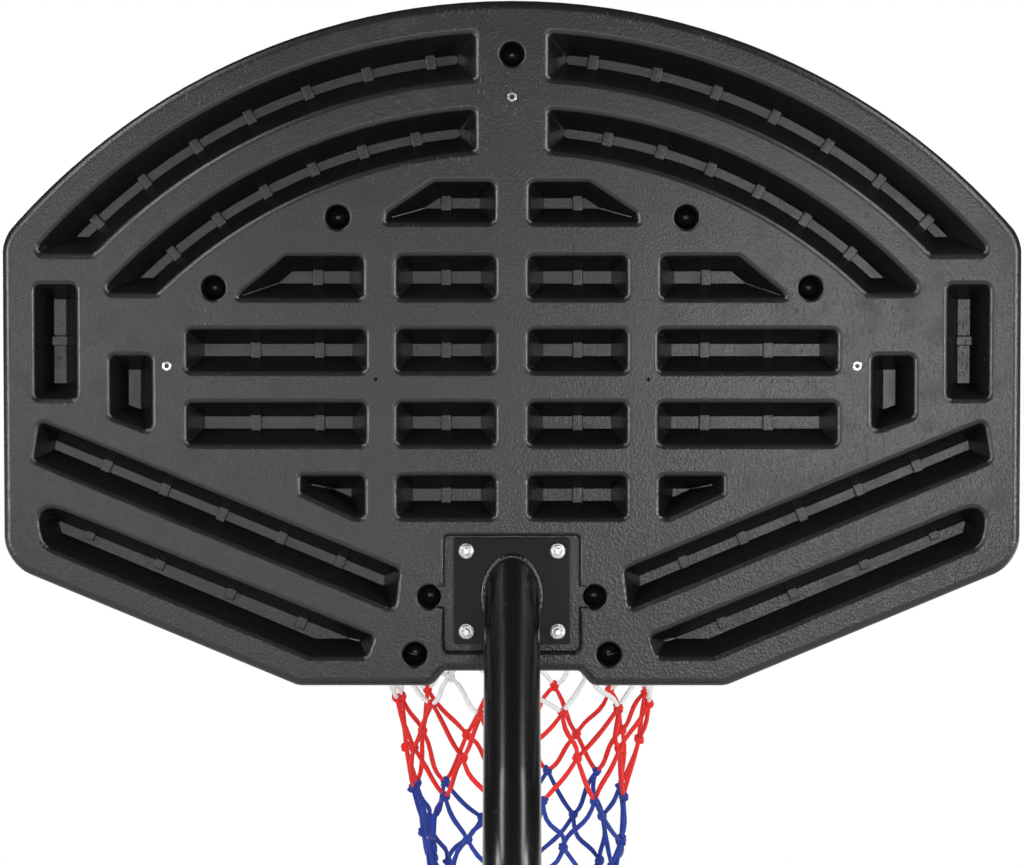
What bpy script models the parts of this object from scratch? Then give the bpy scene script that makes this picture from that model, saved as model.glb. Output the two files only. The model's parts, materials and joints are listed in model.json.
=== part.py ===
"""Portable basketball hoop: fan-shaped blow-moulded backboard on a bent telescoping pole.

The hoop stands on the floor at z = 0 with the lower pole's axis on the world's z axis. The court is
on the -Y side, so the rim points to -Y and the back of the board faces +Y. Sizes are in metres.
"""

from math import asin, atan2, cos, pi, radians, sin, sqrt, tan

import bmesh
import bpy
from mathutils import Matrix, Vector

# General
GAP = 0.0003                  # clearance between pieces that touch
RIM_HEIGHT = 2.290            # top of the ring at the lowest setting

# Backboard
BOARD_WIDTH = 1.100
BOARD_HEIGHT = 0.740
BOARD_THICK = 0.048
BOARD_WALL = 0.004            # wall of the hollow moulding
BOARD_EDGE_ROUND = 0.010      # rounding of the back face's edge
POCKET_INSET = 0.017          # how far a pocket's wall leans in between mouth and floor
PANEL_THICK = 0.003
PANEL_MARGIN = 0.022          # bare border of the moulding around the front panel

# Plate, mounting bolts and rim bracket
PLATE_WIDTH = 0.126
PLATE_HEIGHT = 0.116
PLATE_THICK = 0.005
PLATE_LOW = 0.045             # plate's lower edge above the board's lower edge
PLATE_SINK = 0.005            # how far the plate's face lies below the board's back face
BOLT_EDGE_X = 0.0134          # bolt's axis from the plate's side
BOLT_EDGE_Z = 0.01435         # and from its upper or lower edge
BOLT_RADIUS = 0.004
NUT_RADIUS = 0.0075           # across the corners
WASHER_RADIUS = 0.0085
WASHER_THICK = 0.0016
NUT_THICK = 0.0065
BOLT_HEAD_THICK = 0.0053
BOLT_PAST_NUT = 0.003
DOME_HEAD_RADIUS = 0.0085     # heads of the mounting bolts, on the rim's plate
DOME_HEAD_THICK = 0.0048
WELD_RADIUS = 0.0045
PANEL_SCREW_RADIUS = 0.0025
PANEL_HEAD_RADIUS = 0.0045
PANEL_HEAD_THICK = 0.0022
PANEL_NUT_RADIUS = 0.0055     # across the corners
PANEL_NUT_THICK = 0.004

# Poles
POLE_RADIUS = 0.030
POLE_WALL = 0.002
POLE_OFFSET = 0.230           # pole axis behind the board's back face
POLE_LEAN = radians(45)       # slope of the top pole where it meets the plate
POLE_BEND_RADIUS = 0.200
POLE_BELOW_PLATE_MIDDLE = 0.005
HEIGHT_TRAVEL = 0.760
POLE_OVERLAP = 0.200          # top pole left inside the lower pole at full height
POLE_TOP_BELOW_RIM = 0.690    # top of the lower pole below the ring at the lowest setting
LOWER_POLE_BOTTOM = 0.012
SLIDE_CLEARANCE = 0.0015      # top pole to the lower pole's bore
COLLAR_WALL = 0.005
COLLAR_LENGTH = 0.070         # over the lower pole
COLLAR_CAP = 0.012            # above the lower pole's top
COLLAR_CLEARANCE = 0.0008     # top pole to the collar's guide
CLAMP_BELOW_TOP = 0.035
CLAMP_SCREW_RADIUS = 0.005
CLAMP_TIP_GAP = 0.0004
CLAMP_NUT_RADIUS = 0.011      # across the corners
CLAMP_NUT_THICK = 0.009
KNOB_OFF_NUT = 0.010
KNOB_RADIUS = 0.025
KNOB_LENGTH = 0.022
KNOB_LOBES = 5
KNOB_WAVE = 0.12              # depth of the hollows between lobes, as a share of the radius
KNOB_SOCKET_DEPTH = 0.014

# Rim
RING_INNER_RADIUS = 0.2286    # the standard 18 inch ring
RING_ROD_RADIUS = 0.008
RING_GAP_TO_BOARD = 0.151     # nearest inside of the ring to the board's front
RING_ABOVE_BOARD_EDGE = 0.125
HOOK_COUNT = 12
HOOK_WIRE_RADIUS = 0.002
HOOK_BEND_RADIUS = 0.008
HOOK_DROP = 0.010             # straight part of a hook below the ring
HOOK_TIP = 0.004
BRACE_RADIUS = 0.005
BRACE_TURN = radians(30)      # where a brace meets the ring, seen from the ring's centre
BRACE_FROM_EDGE = 0.009       # brace's axis from the plate's side
BRACE_BELOW_MIDDLE = 0.018    # brace's start under the plate's middle
ARM_WIDTH = 0.074
ARM_DEPTH = 0.056
ARM_TIP_DEPTH = 0.012
ARM_WALL = 0.0035

# Net
NET_CORD = 0.0062
NET_ROWS = 10                 # rows of knots below the hooks
NET_ROW_PITCH = 0.050
NET_END_RADIUS = 0.119
NET_TAPER_ROWS = 9            # the net narrows over these rows and then hangs straight
NET_LOOP_HALF = 0.006         # half the cord that lies in a hook

# Base
BASE_LENGTH = 0.930
BASE_WIDTH = 0.620
BASE_HEIGHT = 0.150
BASE_FRONT = 0.270            # base in front of the pole's axis
BASE_WALL = 0.006
BASE_DRAFT = 0.030            # how far the sides lean in from floor to top
BASE_REAR_CORNER = 0.110
BASE_FRONT_CORNER = 0.075
BASE_EDGE_ROUND = 0.020
FILL_NECK_RADIUS = 0.024
CAP_LIP = 0.007
CAP_HEIGHT = 0.010
PLUG_DEPTH = 0.010
WHEEL_RADIUS = 0.062
WHEEL_WIDTH = 0.034
WHEEL_FLOOR_GAP = 0.006
AXLE_RADIUS = 0.006
AXLE_PAST_WHEEL = 0.006
AXLE_CAP_WALL = 0.005
WHEEL_RUNNING_GAP = 0.0005
WHEEL_RIM = 0.017             # tread and its slope, round the sunk web
WHEEL_WEB_SINK = 0.009
WHEEL_HUB_RADIUS = 0.019
AXLE_BEHIND_FRONT = 0.040
UNDERCUT_LENGTH = 0.075       # the front's lower edge is cut away so the base tips onto its wheels
UNDERCUT_HEIGHT = 0.040
WELL_GAP = 0.009              # wheel to its well
WHEEL_INSIDE = 0.006          # wheel's outer side inside the base's side
STAY_RADIUS = 0.009
STAY_BELOW_TOP_POLE = 0.080   # stay bolt under the lowest place of the top pole
STAY_BOSS_WALL = 0.008
STAY_BOLT_DEPTH = 0.026       # of a foot bolt below its head
STAY_FOOT_X = 0.190
STAY_FOOT_FROM_REAR = 0.130
STAY_OFF_POLE = 0.004         # round part of a stay to the lower pole
TAB_THICK = 0.004
TAB_HALF = 0.012
TAB_LENGTH = 0.042

# Places that follow from the sizes
LOWER_POLE_TOP = RIM_HEIGHT - POLE_TOP_BELOW_RIM
RING_RADIUS = RING_INNER_RADIUS + RING_ROD_RADIUS
RING_Z = RIM_HEIGHT - RING_ROD_RADIUS
BOARD_Z = RING_Z - RING_ABOVE_BOARD_EDGE
BACK_Y = -POLE_OFFSET
FRONT_Y = BACK_Y - BOARD_THICK
PANEL_FRONT_Y = FRONT_Y - GAP - PANEL_THICK
RING_Y = PANEL_FRONT_Y - RING_GAP_TO_BOARD - RING_INNER_RADIUS
PLATE_Z = BOARD_Z + PLATE_LOW + PLATE_HEIGHT / 2
PLATE_BACK_Y = BACK_Y - PLATE_SINK
POCKET_DEPTH = BOARD_THICK - 2 * BOARD_WALL
POCKET_SLOPE = POCKET_INSET / POCKET_DEPTH
LOWER_POLE_RADIUS = POLE_RADIUS + SLIDE_CLEARANCE + POLE_WALL
TOP_POLE_BOTTOM = LOWER_POLE_TOP - HEIGHT_TRAVEL - POLE_OVERLAP
BOLT_SPACING_X = PLATE_WIDTH - 2 * BOLT_EDGE_X
BOLT_SPACING_Z = PLATE_HEIGHT - 2 * BOLT_EDGE_Z
TOP_POLE_Z = PLATE_Z - POLE_BELOW_PLATE_MIDDLE
RIM_PLATE_FRONT_Y = PANEL_FRONT_Y - GAP - PLATE_THICK
STAY_BOLT_Z = TOP_POLE_BOTTOM - STAY_BELOW_TOP_POLE
CLAMP_Z = LOWER_POLE_TOP - CLAMP_BELOW_TOP
AXLE_Y = -BASE_FRONT + AXLE_BEHIND_FRONT
AXLE_Z = WHEEL_RADIUS + WHEEL_FLOOR_GAP
WHEEL_X = BASE_WIDTH / 2 - WHEEL_WIDTH / 2 - WHEEL_INSIDE

for old in list(bpy.data.objects):
    bpy.data.objects.remove(old, do_unlink=True)

parts = bpy.data.collections.new("basketball_hoop")
cutters = bpy.data.collections.new("cutters")
bpy.context.scene.collection.children.link(parts)
bpy.context.scene.collection.children.link(cutters)


def material(name, colour, roughness, metallic=0.0):
    mat = bpy.data.materials.get(name)
    if mat is None:
        mat = bpy.data.materials.new(name)
        mat.use_nodes = True
        shader = mat.node_tree.nodes["Principled BSDF"]
        shader.inputs["Base Color"].default_value = (*colour, 1.0)
        shader.inputs["Roughness"].default_value = roughness
        shader.inputs["Metallic"].default_value = metallic
    return mat


BLACK_PLASTIC = ("black_plastic", (0.035, 0.035, 0.037), 0.5)
BLACK_STEEL = ("black_steel", (0.012, 0.012, 0.013), 0.2, 0.3)
ZINC = ("zinc", (0.55, 0.56, 0.57), 0.35, 1.0)
ORANGE_STEEL = ("orange_steel", (0.62, 0.09, 0.02), 0.35, 0.2)
NET_CORD_WHITE = ("net_cord", (0.75, 0.75, 0.76), 0.8)
PANEL_WHITE = ("panel_white", (0.78, 0.78, 0.78), 0.4)
WHEEL_PLASTIC = ("wheel_plastic", (0.03, 0.03, 0.032), 0.55)


def part(name, mesh, look):
    """Put a mesh in the scene as one of the hoop's pieces."""
    obj = bpy.data.objects.new(name, mesh)
    obj.data.materials.clear()
    obj.data.materials.append(material(*look))
    parts.objects.link(obj)
    return obj


def cutter(name, mesh, group=cutters):
    """Put a mesh in the scene as a tool that only cuts or joins."""
    obj = bpy.data.objects.new(name, mesh)
    obj.hide_render = True
    obj.display_type = "WIRE"
    group.objects.link(obj)
    return obj


def cutter_group(name):
    group = bpy.data.collections.new(name)
    cutters.children.link(group)
    return group


def place(obj, location=(0, 0, 0), rotation=(0, 0, 0)):
    obj.location = location
    obj.rotation_euler = rotation
    return obj


def smooth(mesh):
    mesh.shade_smooth()
    mesh.set_sharp_from_angle(angle=radians(35))
    return mesh


def boolean(obj, tool, operation="DIFFERENCE"):
    mod = obj.modifiers.new(operation.lower(), "BOOLEAN")
    mod.operation = operation
    mod.solver = "EXACT"
    if isinstance(tool, bpy.types.Collection):
        mod.operand_type = "COLLECTION"
        mod.collection = tool
    else:
        mod.object = tool
    return obj


def to_mesh(bm, name):
    bmesh.ops.recalc_face_normals(bm, faces=bm.faces)
    mesh = bpy.data.meshes.new(name)
    bm.to_mesh(mesh)
    bm.free()
    return mesh


def box_mesh(name, low, high):
    """An upright box between two corners."""
    low, high = Vector(low), Vector(high)
    size = high - low
    bm = bmesh.new()
    place_it = Matrix.Translation((low + high) / 2) @ Matrix.Diagonal((*size, 1))
    bmesh.ops.create_cube(bm, size=1, matrix=place_it)
    return to_mesh(bm, name)


def rod_mesh(name, radius, start, end, sides=16):
    """A solid round bar between two points."""
    start, end = Vector(start), Vector(end)
    axis = end - start
    turn = axis.to_track_quat("Z", "Y").to_matrix().to_4x4()
    bm = bmesh.new()
    bmesh.ops.create_cone(
        bm,
        cap_ends=True,
        segments=sides,
        radius1=radius,
        radius2=radius,
        depth=axis.length,
        matrix=Matrix.Translation((start + end) / 2) @ turn,
    )
    return smooth(to_mesh(bm, name))


def turned(name, profile, look, steps=24, closed=True):
    """A piece turned about its own z axis; the profile runs down its outer side."""
    bm = bmesh.new()
    verts = [bm.verts.new((r, 0, z)) for r, z in profile]
    for a, b in zip(verts, verts[1:]):
        bm.edges.new((a, b))
    if closed:
        bm.edges.new((verts[-1], verts[0]))
    mesh = bpy.data.meshes.new(name)
    bm.to_mesh(mesh)
    bm.free()
    obj = part(name, mesh, look)
    mod = obj.modifiers.new("turn", "SCREW")
    mod.steps = steps
    mod.render_steps = steps
    mod.merge_threshold = 0.00001
    mod.use_merge_vertices = True
    mod.use_smooth_shade = True
    return obj


def prism_mesh(name, outline, low, high):
    """A flat outline of x and y points given a thickness from z = low to z = high."""
    bm = bmesh.new()
    face = bm.faces.new([bm.verts.new((x, y, low)) for x, y in outline])
    grown = bmesh.ops.extrude_face_region(bm, geom=[face])
    raised = [v for v in grown["geom"] if isinstance(v, bmesh.types.BMVert)]
    bmesh.ops.translate(bm, verts=raised, vec=(0, 0, high - low))
    return to_mesh(bm, name)


def tube_mesh(name, points, radius, resolution=2, cyclic=False):
    """A round bar or wire along a line of points, welded to one closed mesh."""
    curve = bpy.data.curves.new(name, "CURVE")
    curve.dimensions = "3D"
    curve.bevel_depth = radius
    curve.bevel_resolution = resolution
    curve.use_fill_caps = not cyclic
    spline = curve.splines.new("POLY")
    spline.points.add(len(points) - 1)
    spline.use_cyclic_u = cyclic
    for spot, point in zip(spline.points, points):
        spot.co = (*point, 1)
    guide = bpy.data.objects.new(name, curve)
    cutters.objects.link(guide)
    bpy.context.view_layer.update()
    ready = guide.evaluated_get(bpy.context.evaluated_depsgraph_get())
    mesh = bpy.data.meshes.new_from_object(ready)
    bpy.data.objects.remove(guide, do_unlink=True)
    bm = bmesh.new()
    bm.from_mesh(mesh)
    bmesh.ops.remove_doubles(bm, verts=bm.verts, dist=0.00001)
    bmesh.ops.recalc_face_normals(bm, faces=bm.faces)
    bm.to_mesh(mesh)
    bm.free()
    mesh.materials.clear()
    return smooth(mesh)


def arc(centre, radius, start, end, steps):
    """Points along a round stretch, both ends included."""
    turn = [start + (end - start) * i / steps for i in range(steps + 1)]
    return [(centre[0] + radius * cos(a), centre[1] + radius * sin(a)) for a in turn]


def rounded(corners, steps=3):
    """An outline from corners (x, y, radius); each corner becomes an arc that meets both sides."""
    points = []
    for i, (x, y, radius) in enumerate(corners):
        here = Vector((x, y))
        before = (Vector(corners[i - 1][:2]) - here).normalized()
        after = (Vector(corners[(i + 1) % len(corners)][:2]) - here).normalized()
        if radius == 0:
            points.append((x, y))
            continue
        half = before.angle(after) / 2
        centre = here + (before + after).normalized() * radius / sin(half)
        first = here + before * radius / tan(half) - centre
        last = here + after * radius / tan(half) - centre
        start = atan2(first.y, first.x)
        sweep = first.angle_signed(last)
        points += arc(centre, radius, start, start - sweep, steps)
    return points


def inset(outline, distance):
    """Move every side of an anticlockwise outline inwards by a distance."""
    moved = []
    for i, point in enumerate(outline):
        here = Vector(point)
        side_in = (here - Vector(outline[i - 1])).normalized()
        side_out = (Vector(outline[(i + 1) % len(outline)]) - here).normalized()
        inward_in = Vector((-side_in.y, side_in.x))
        inward_out = Vector((-side_out.y, side_out.x))
        middle = (inward_in + inward_out).normalized()
        moved.append(tuple(here + middle * distance / middle.dot(inward_in)))
    return moved


# Backboard
#
# The moulding is drawn in its own plane: x to the right as seen from behind, y up from the board's
# lower edge, z out of the back face. The pattern is drawn for a board of 1.10 m by 0.74 m and
# stretches with the board.
DRAWN_WIDTH = 1.100
DRAWN_HEIGHT = 0.740
DRAWN_BESIDE = 0.118          # outer side of the sockets beside the plate
TOP_ARC_RADIUS = 0.720
TOP_CORNER_RADIUS = 0.040
SIDE_LOW = 0.1325             # where the side meets the lower slope
SIDE_CORNER_RADIUS = 0.045
BOTTOM_HALF = 0.232           # where the lower slope meets the flat bottom
BOTTOM_CORNER_RADIUS = 0.025
LEAST_CORNER = 0.003
NOTCH_HALF = 0.087
NOTCH_SLANT = 0.014
NOTCH_DEPTH = 0.016

ARC_END = 0.040               # arc pockets stop here beside the board's middle
OUTER_ARC = {"centre": 0.023, "outer": 0.684, "inner": 0.633, "low": 0.466}
INNER_ARC = {"centre": 0.027, "outer": 0.598, "inner": 0.552, "low": 0.424}
ROW_TOP = 0.4662              # top of the highest of the four rows of pockets
ROW_COUNT = 4
ROW_FILL = 0.595              # share of the row pitch that the pocket takes
ROW_ABOVE_PLATE = 0.019
CENTRE_BOX = (0.017, 0.125)
WIDE_BOX = (0.157, 0.352)
POCKET_CORNER = 0.007
SOCKET_RADIUS = 0.013
SOCKET_DEPTH = 0.030
SOCKETS = [(0.0, 0.682), (0.188, 0.507), (0.322, 0.431)]
PANEL_SCREWS = [(0.0, 0.636), (0.372, 0.347), (-0.372, 0.347)]
VENTS = [(0.147, 0.3365), (-0.147, 0.3365)]
VENT_RADIUS = 0.002
PILLAR_WALL = 0.006
SOCKET_NOTCH_HALF = 0.011
CUT_SPARE = 0.004             # how far a cutter stands out of the face that it cuts

STRETCH_X = BOARD_WIDTH / DRAWN_WIDTH
STRETCH_Y = BOARD_HEIGHT / DRAWN_HEIGHT
PLATE_POCKET_HALF = PLATE_WIDTH / 2 + 0.010
PLATE_POCKET_LOW = PLATE_LOW - 0.007
PLATE_POCKET_HIGH = PLATE_LOW + PLATE_HEIGHT + 0.002
PLATE_POCKET_DEPTH = PLATE_SINK + PLATE_THICK + GAP
PLATE_SOCKETS = [
    (PLATE_POCKET_HALF + 0.016, PLATE_POCKET_LOW + 0.059),
    (PLATE_POCKET_HALF + 0.032, PLATE_POCKET_LOW - 0.0035),
]
BOARD_TURN = (pi / 2, 0, pi)  # board plane upright, its back towards +Y
ALONG_Y = (-pi / 2, 0, 0)     # a turned piece's axis along the court's direction
YZ_OUTLINE = Matrix(((0, 0, 1, 0), (1, 0, 0, 0), (0, 1, 0, 0), (0, 0, 0, 1)))


def stretched(points):
    return [(x * STRETCH_X, y * STRETCH_Y) for x, y in points]


def beside_plate(x):
    """Stretch a drawn distance over the board's width beside the plate's sockets."""
    kept = PLATE_SOCKETS[1][0] + SOCKET_RADIUS
    share = (x - DRAWN_BESIDE) / (DRAWN_WIDTH / 2 - DRAWN_BESIDE)
    return kept + share * (BOARD_WIDTH / 2 - kept)


def both_sides(half):
    """Close a right half outline, drawn from the bottom up to the top middle, with its mirror."""
    return half + [(-x, y) for x, y in reversed(half) if x > 0.0001]


def board_outline(notched, margin=0.0):
    """The board's outline, or that of a sheet on it that stops a margin inside its edge."""
    half_width = DRAWN_WIDTH / 2
    corners = [
        (BOTTOM_HALF, 0), (half_width, SIDE_LOW), (half_width, DRAWN_HEIGHT),
        (-half_width, DRAWN_HEIGHT), (-half_width, SIDE_LOW), (-BOTTOM_HALF, 0),
    ]
    bottom, side = inset(corners, margin)[:2]
    half_width -= margin
    top_corner, side_corner, bottom_corner = (
        max(radius - margin, LEAST_CORNER)
        for radius in (TOP_CORNER_RADIUS, SIDE_CORNER_RADIUS, BOTTOM_CORNER_RADIUS)
    )
    arc_centre = DRAWN_HEIGHT - TOP_ARC_RADIUS
    arc_radius = TOP_ARC_RADIUS - margin
    reach = half_width - top_corner
    corner_y = arc_centre + sqrt((arc_radius - top_corner) ** 2 - reach**2)
    turn = atan2(corner_y - arc_centre, reach)
    lower = rounded(
        [(0, bottom[1], 0), (*bottom, bottom_corner), (*side, side_corner), (half_width, DRAWN_HEIGHT, 0)]
    )[1:-1]
    notch = [
        (NOTCH_HALF - NOTCH_SLANT, NOTCH_DEPTH),
        (NOTCH_HALF, 0),
    ]
    half = (notch if notched else []) + lower
    half += arc((reach, corner_y), top_corner, 0, turn, 4)
    half += arc((0, arc_centre), arc_radius, turn, pi / 2, 12)[1:]
    return stretched(both_sides(half))


def row_limits(row):
    """Lower and upper side of a row of pockets, counted from the top."""
    top = ROW_TOP * STRETCH_Y
    bottom = PLATE_POCKET_HIGH + ROW_ABOVE_PLATE
    pitch = (top - bottom) / (ROW_COUNT - 1 + ROW_FILL)
    high = top - row * pitch
    return high - pitch * ROW_FILL, high


def straight_pockets():
    """Mouths of the straight-sided pockets on the right half, anticlockwise."""
    small = POCKET_CORNER
    sharp = 0.003
    mouths = {}
    for row in range(ROW_COUNT):
        low, high = row_limits(row)
        left, right = (x * STRETCH_X for x in CENTRE_BOX)
        mouths[f"centre_{row}"] = [
            (left, low, small), (right, low, small), (right, high, small), (left, high, small),
        ]
    for row in (1, 2):
        low, high = row_limits(row)
        left, right = (x * STRETCH_X for x in WIDE_BOX)
        mouths[f"wide_{row}"] = [
            (left, low, small), (right, low, small), (right, high, small), (left, high, small),
        ]
    low, high = row_limits(0)
    left, knee, tip = (x * STRETCH_X for x in (0.160, 0.245, 0.298))
    mouths["angled_wide"] = [
        (left, low, small), (tip, low, sharp), (tip - 0.006, low + 0.008, sharp),
        (knee, high, small), (left, high, small),
    ]
    low, high = row_limits(3)
    left, right = (x * STRETCH_X for x in (0.1585, 0.229))
    mouths["triangle"] = [
        (left, low, small), (left + 0.012, low, small), (right, high - 0.020, sharp),
        (right, high, sharp), (left, high, small),
    ]
    drawn = {
        "angled_small": [
            (0.018, 0.5007, small), (0.137, 0.5007, sharp), (0.135, 0.512, sharp),
            (0.0845, 0.5457, small), (0.018, 0.5457, small),
        ],
        "side_box": [
            (0.469, 0.3106, small), (0.516, 0.3106, small), (0.516, 0.4357, small),
            (0.469, 0.4357, small),
        ],
        "side_pentagon": [
            (0.388, 0.282, small), (0.395, 0.277, small), (0.435, 0.292, small),
            (0.435, 0.359, small), (0.388, 0.359, small),
        ],
        "long_upper": [
            (0.126, 0.079, small), (0.146, 0.088, small), (0.514, 0.243, small),
            (0.505, 0.2867, small), (0.123, 0.126, small),
        ],
        "long_lower": [
            (0.157, 0.031, sharp), (0.235, 0.028, small), (0.505, 0.148, 0.018),
            (0.516, 0.204, 0.018), (0.148, 0.0545, sharp),
        ],
    }
    for name, corners in drawn.items():
        across = beside_plate if name.startswith("long") else lambda x: x * STRETCH_X
        mouths[name] = [(across(x), y * STRETCH_Y, r) for x, y, r in corners]
    return mouths


def pocket_mesh(name, mouth, top, depth, grow):
    """A block cut by one leaning plane for each side of a convex mouth.

    The mouth lies at z = 0, and a leaning wall may be moved outwards by a distance, square to it.
    """
    xs = [x for x, _ in mouth]
    ys = [y for _, y in mouth]
    spare = 0.03
    low = Vector((min(xs) - spare, min(ys) - spare, -depth))
    high = Vector((max(xs) + spare, max(ys) + spare, top))
    bm = bmesh.new()
    block = Matrix.Translation((low + high) / 2) @ Matrix.Diagonal((*(high - low), 1))
    bmesh.ops.create_cube(bm, size=1, matrix=block)
    for i, point in enumerate(mouth):
        here = Vector((*mouth[i - 1], 0))
        along = Vector((*point, 0)) - here
        if along.length < 0.0002:
            continue
        outward = Vector((along.y, -along.x, 0)).normalized()
        normal = (outward - Vector((0, 0, POCKET_SLOPE))).normalized()
        cut = bmesh.ops.bisect_plane(
            bm,
            geom=bm.verts[:] + bm.edges[:] + bm.faces[:],
            plane_co=here + normal * grow,
            plane_no=normal,
            clear_outer=True,
        )
        rim = [e for e in cut["geom_cut"] if isinstance(e, bmesh.types.BMEdge)]
        if rim:
            bmesh.ops.edgeloop_fill(bm, edges=rim)
    bmesh.ops.remove_doubles(bm, verts=bm.verts, dist=0.00002)
    return to_mesh(bm, name)


def arc_pocket_mesh(name, shape, side, top, depth, grow, steps=9):
    """A curved pocket between two arcs, lofted along them and running out to a point.

    Four rails carry it: the outer and inner side of its mouth, and those of its floor.
    """
    lean = sqrt(1 + POCKET_SLOPE**2)
    out = grow * lean + top * POCKET_SLOPE
    fall = (top + depth) * POCKET_SLOPE
    centre, outer_radius, inner_radius = shape["centre"], shape["outer"], shape["inner"]
    low = shape["low"] - out
    start = ARC_END - out

    def rail(radius, first_x, last_y, z):
        """Points of one rail from beside the board's middle to its lower end."""
        first = asin(first_x / radius)
        last = pi / 2 - asin((last_y - centre) / radius)
        spots = []
        for i in range(steps):
            turn = first + (last - first) * i / (steps - 1)
            spots.append((radius * sin(turn), centre + radius * cos(turn), z))
        return spots

    mouth_outer = rail(outer_radius + out, start, low + 0.030, top)
    mouth_inner = rail(inner_radius - out, start, low, top)
    floor_outer = rail(outer_radius + out - fall, start + fall, low + fall + 0.004, -depth)
    floor_inner = rail(inner_radius - out + fall, start + fall, low + fall, -depth)
    tip_x = sqrt((outer_radius + out) ** 2 - (low - centre) ** 2)

    bm = bmesh.new()
    rows = []
    for spots in zip(mouth_outer, mouth_inner, floor_inner, floor_outer):
        row = [bm.verts.new((side * x * STRETCH_X, y * STRETCH_Y, z)) for x, y, z in spots]
        rows.append(row)
    bm.faces.new(rows[0])
    for a, b in zip(rows, rows[1:]):
        for k in range(4):
            bm.faces.new((a[k], a[(k + 1) % 4], b[(k + 1) % 4], b[k]))
    tip = bm.verts.new((side * tip_x * STRETCH_X, low * STRETCH_Y, top))
    last = rows[-1]
    for k in range(4):
        bm.faces.new((last[k], last[(k + 1) % 4], tip))
    return to_mesh(bm, name)


def board_cuts(group, top, depth, grow):
    """Cutters for all pockets and sockets of the board, grown outwards by a wall if asked."""
    made = []
    for side in (1, -1):
        for name, corners in straight_pockets().items():
            mouth = rounded(corners, 2)
            if side < 0:
                mouth = [(-x, y) for x, y in reversed(mouth)]
            made.append(cutter(f"{name}_{side}", pocket_mesh(name, mouth, top, depth, grow), group))
        for name, shape in (("outer_arc", OUTER_ARC), ("inner_arc", INNER_ARC)):
            mesh = arc_pocket_mesh(name, shape, side, top, depth, grow)
            made.append(cutter(f"{name}_{side}", mesh, group))
    spots = stretched(SOCKETS) + PLATE_SOCKETS
    spots += [(-x, y) for x, y in spots if x > 0]
    for x, y in spots:
        mesh = rod_mesh("socket", SOCKET_RADIUS + grow, (x, y, -SOCKET_DEPTH - grow), (x, y, top), 16)
        made.append(cutter("socket", mesh, group))
    return made


def bolt_spots():
    """The four mounting bolts in the board's plane."""
    middle = PLATE_Z - BOARD_Z
    spots = []
    for side in (1, -1):
        for x in (-1, 1):
            spots.append((x * BOLT_SPACING_X / 2, middle + side * BOLT_SPACING_Z / 2))
    return spots


def through_spots():
    """Place, radius and number of sides of each hole that runs through the board."""
    spots = [(x, y, BOLT_RADIUS, 12) for x, y in bolt_spots()]
    return spots + [(x, y, PANEL_SCREW_RADIUS, 8) for x, y in stretched(PANEL_SCREWS)]


def make_backboard():
    """The hollow moulding: outer skin, cavity with its pillars, pockets, sockets and holes."""
    outline = board_outline(notched=True)
    bm = bmesh.new()
    face = bm.faces.new([bm.verts.new((x, y, -BOARD_THICK)) for x, y in outline])
    grown = bmesh.ops.extrude_face_region(bm, geom=[face])
    raised = [v for v in grown["geom"] if isinstance(v, bmesh.types.BMVert)]
    bmesh.ops.translate(bm, verts=raised, vec=(0, 0, BOARD_THICK))
    bmesh.ops.recalc_face_normals(bm, faces=bm.faces)
    back_edge = [e for e in bm.edges if all(v.co.z > -0.0001 for v in e.verts)]
    bmesh.ops.bevel(bm, geom=back_edge, offset=BOARD_EDGE_ROUND, segments=2, affect="EDGES", profile=0.5)
    board = part("backboard", to_mesh(bm, "backboard"), BLACK_PLASTIC)
    place(board, (0, BACK_Y, BOARD_Z), BOARD_TURN)

    tools = board_cuts(pockets, CUT_SPARE, POCKET_DEPTH, 0)
    tools += board_cuts(shells, CUT_SPARE, POCKET_DEPTH + 2 * BOARD_WALL, BOARD_WALL)
    half, low, high = PLATE_POCKET_HALF, PLATE_POCKET_LOW, PLATE_POCKET_HIGH
    corners = [(half, low), (half, high), (-half, high), (-half, low)]
    plate_pocket = rounded([(x, y, 0.005) for x, y in corners], 2)
    depth = PLATE_POCKET_DEPTH
    plate_cut = cutter("plate_pocket", prism_mesh("plate_pocket", plate_pocket, -depth, CUT_SPARE))
    shell_outline = inset(plate_pocket, -BOARD_WALL)
    plate_shell = prism_mesh("plate_shell", shell_outline, -depth - BOARD_WALL, CUT_SPARE)
    notch_x, notch_y = PLATE_SOCKETS[0]
    notch_low = (-notch_x, notch_y - SOCKET_NOTCH_HALF, -depth + 0.001)
    notch_high = (notch_x, notch_y + SOCKET_NOTCH_HALF, CUT_SPARE)
    notch_cut = cutter("socket_notches", box_mesh("socket_notches", notch_low, notch_high))
    tools += [plate_cut, notch_cut, cutter("plate_shell", plate_shell, shells)]

    for x, y, radius, sides in through_spots():
        ends = ((x, y, -BOARD_THICK), (x, y, CUT_SPARE))
        pillar = rod_mesh("pillar", radius + PILLAR_WALL, *ends, sides)
        tools.append(cutter("pillar", pillar, shells))
    for x, y in stretched(VENTS):
        vent = rod_mesh("vent", VENT_RADIUS, (x, y, -2.5 * BOARD_WALL), (x, y, CUT_SPARE), 8)
        tools.append(cutter("vent", vent, pockets))

    cavity_outline = inset(outline, BOARD_WALL)
    inner = prism_mesh("board_cavity", cavity_outline, -BOARD_THICK + BOARD_WALL, -BOARD_WALL)
    cavity = cutter("board_cavity", inner)
    tools.append(cavity)
    for tool in tools:
        tool.parent = board_frame
    boolean(cavity, shells)
    for cut in (cavity, plate_cut, notch_cut, pockets, through_holes):
        boolean(board, cut)


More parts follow.
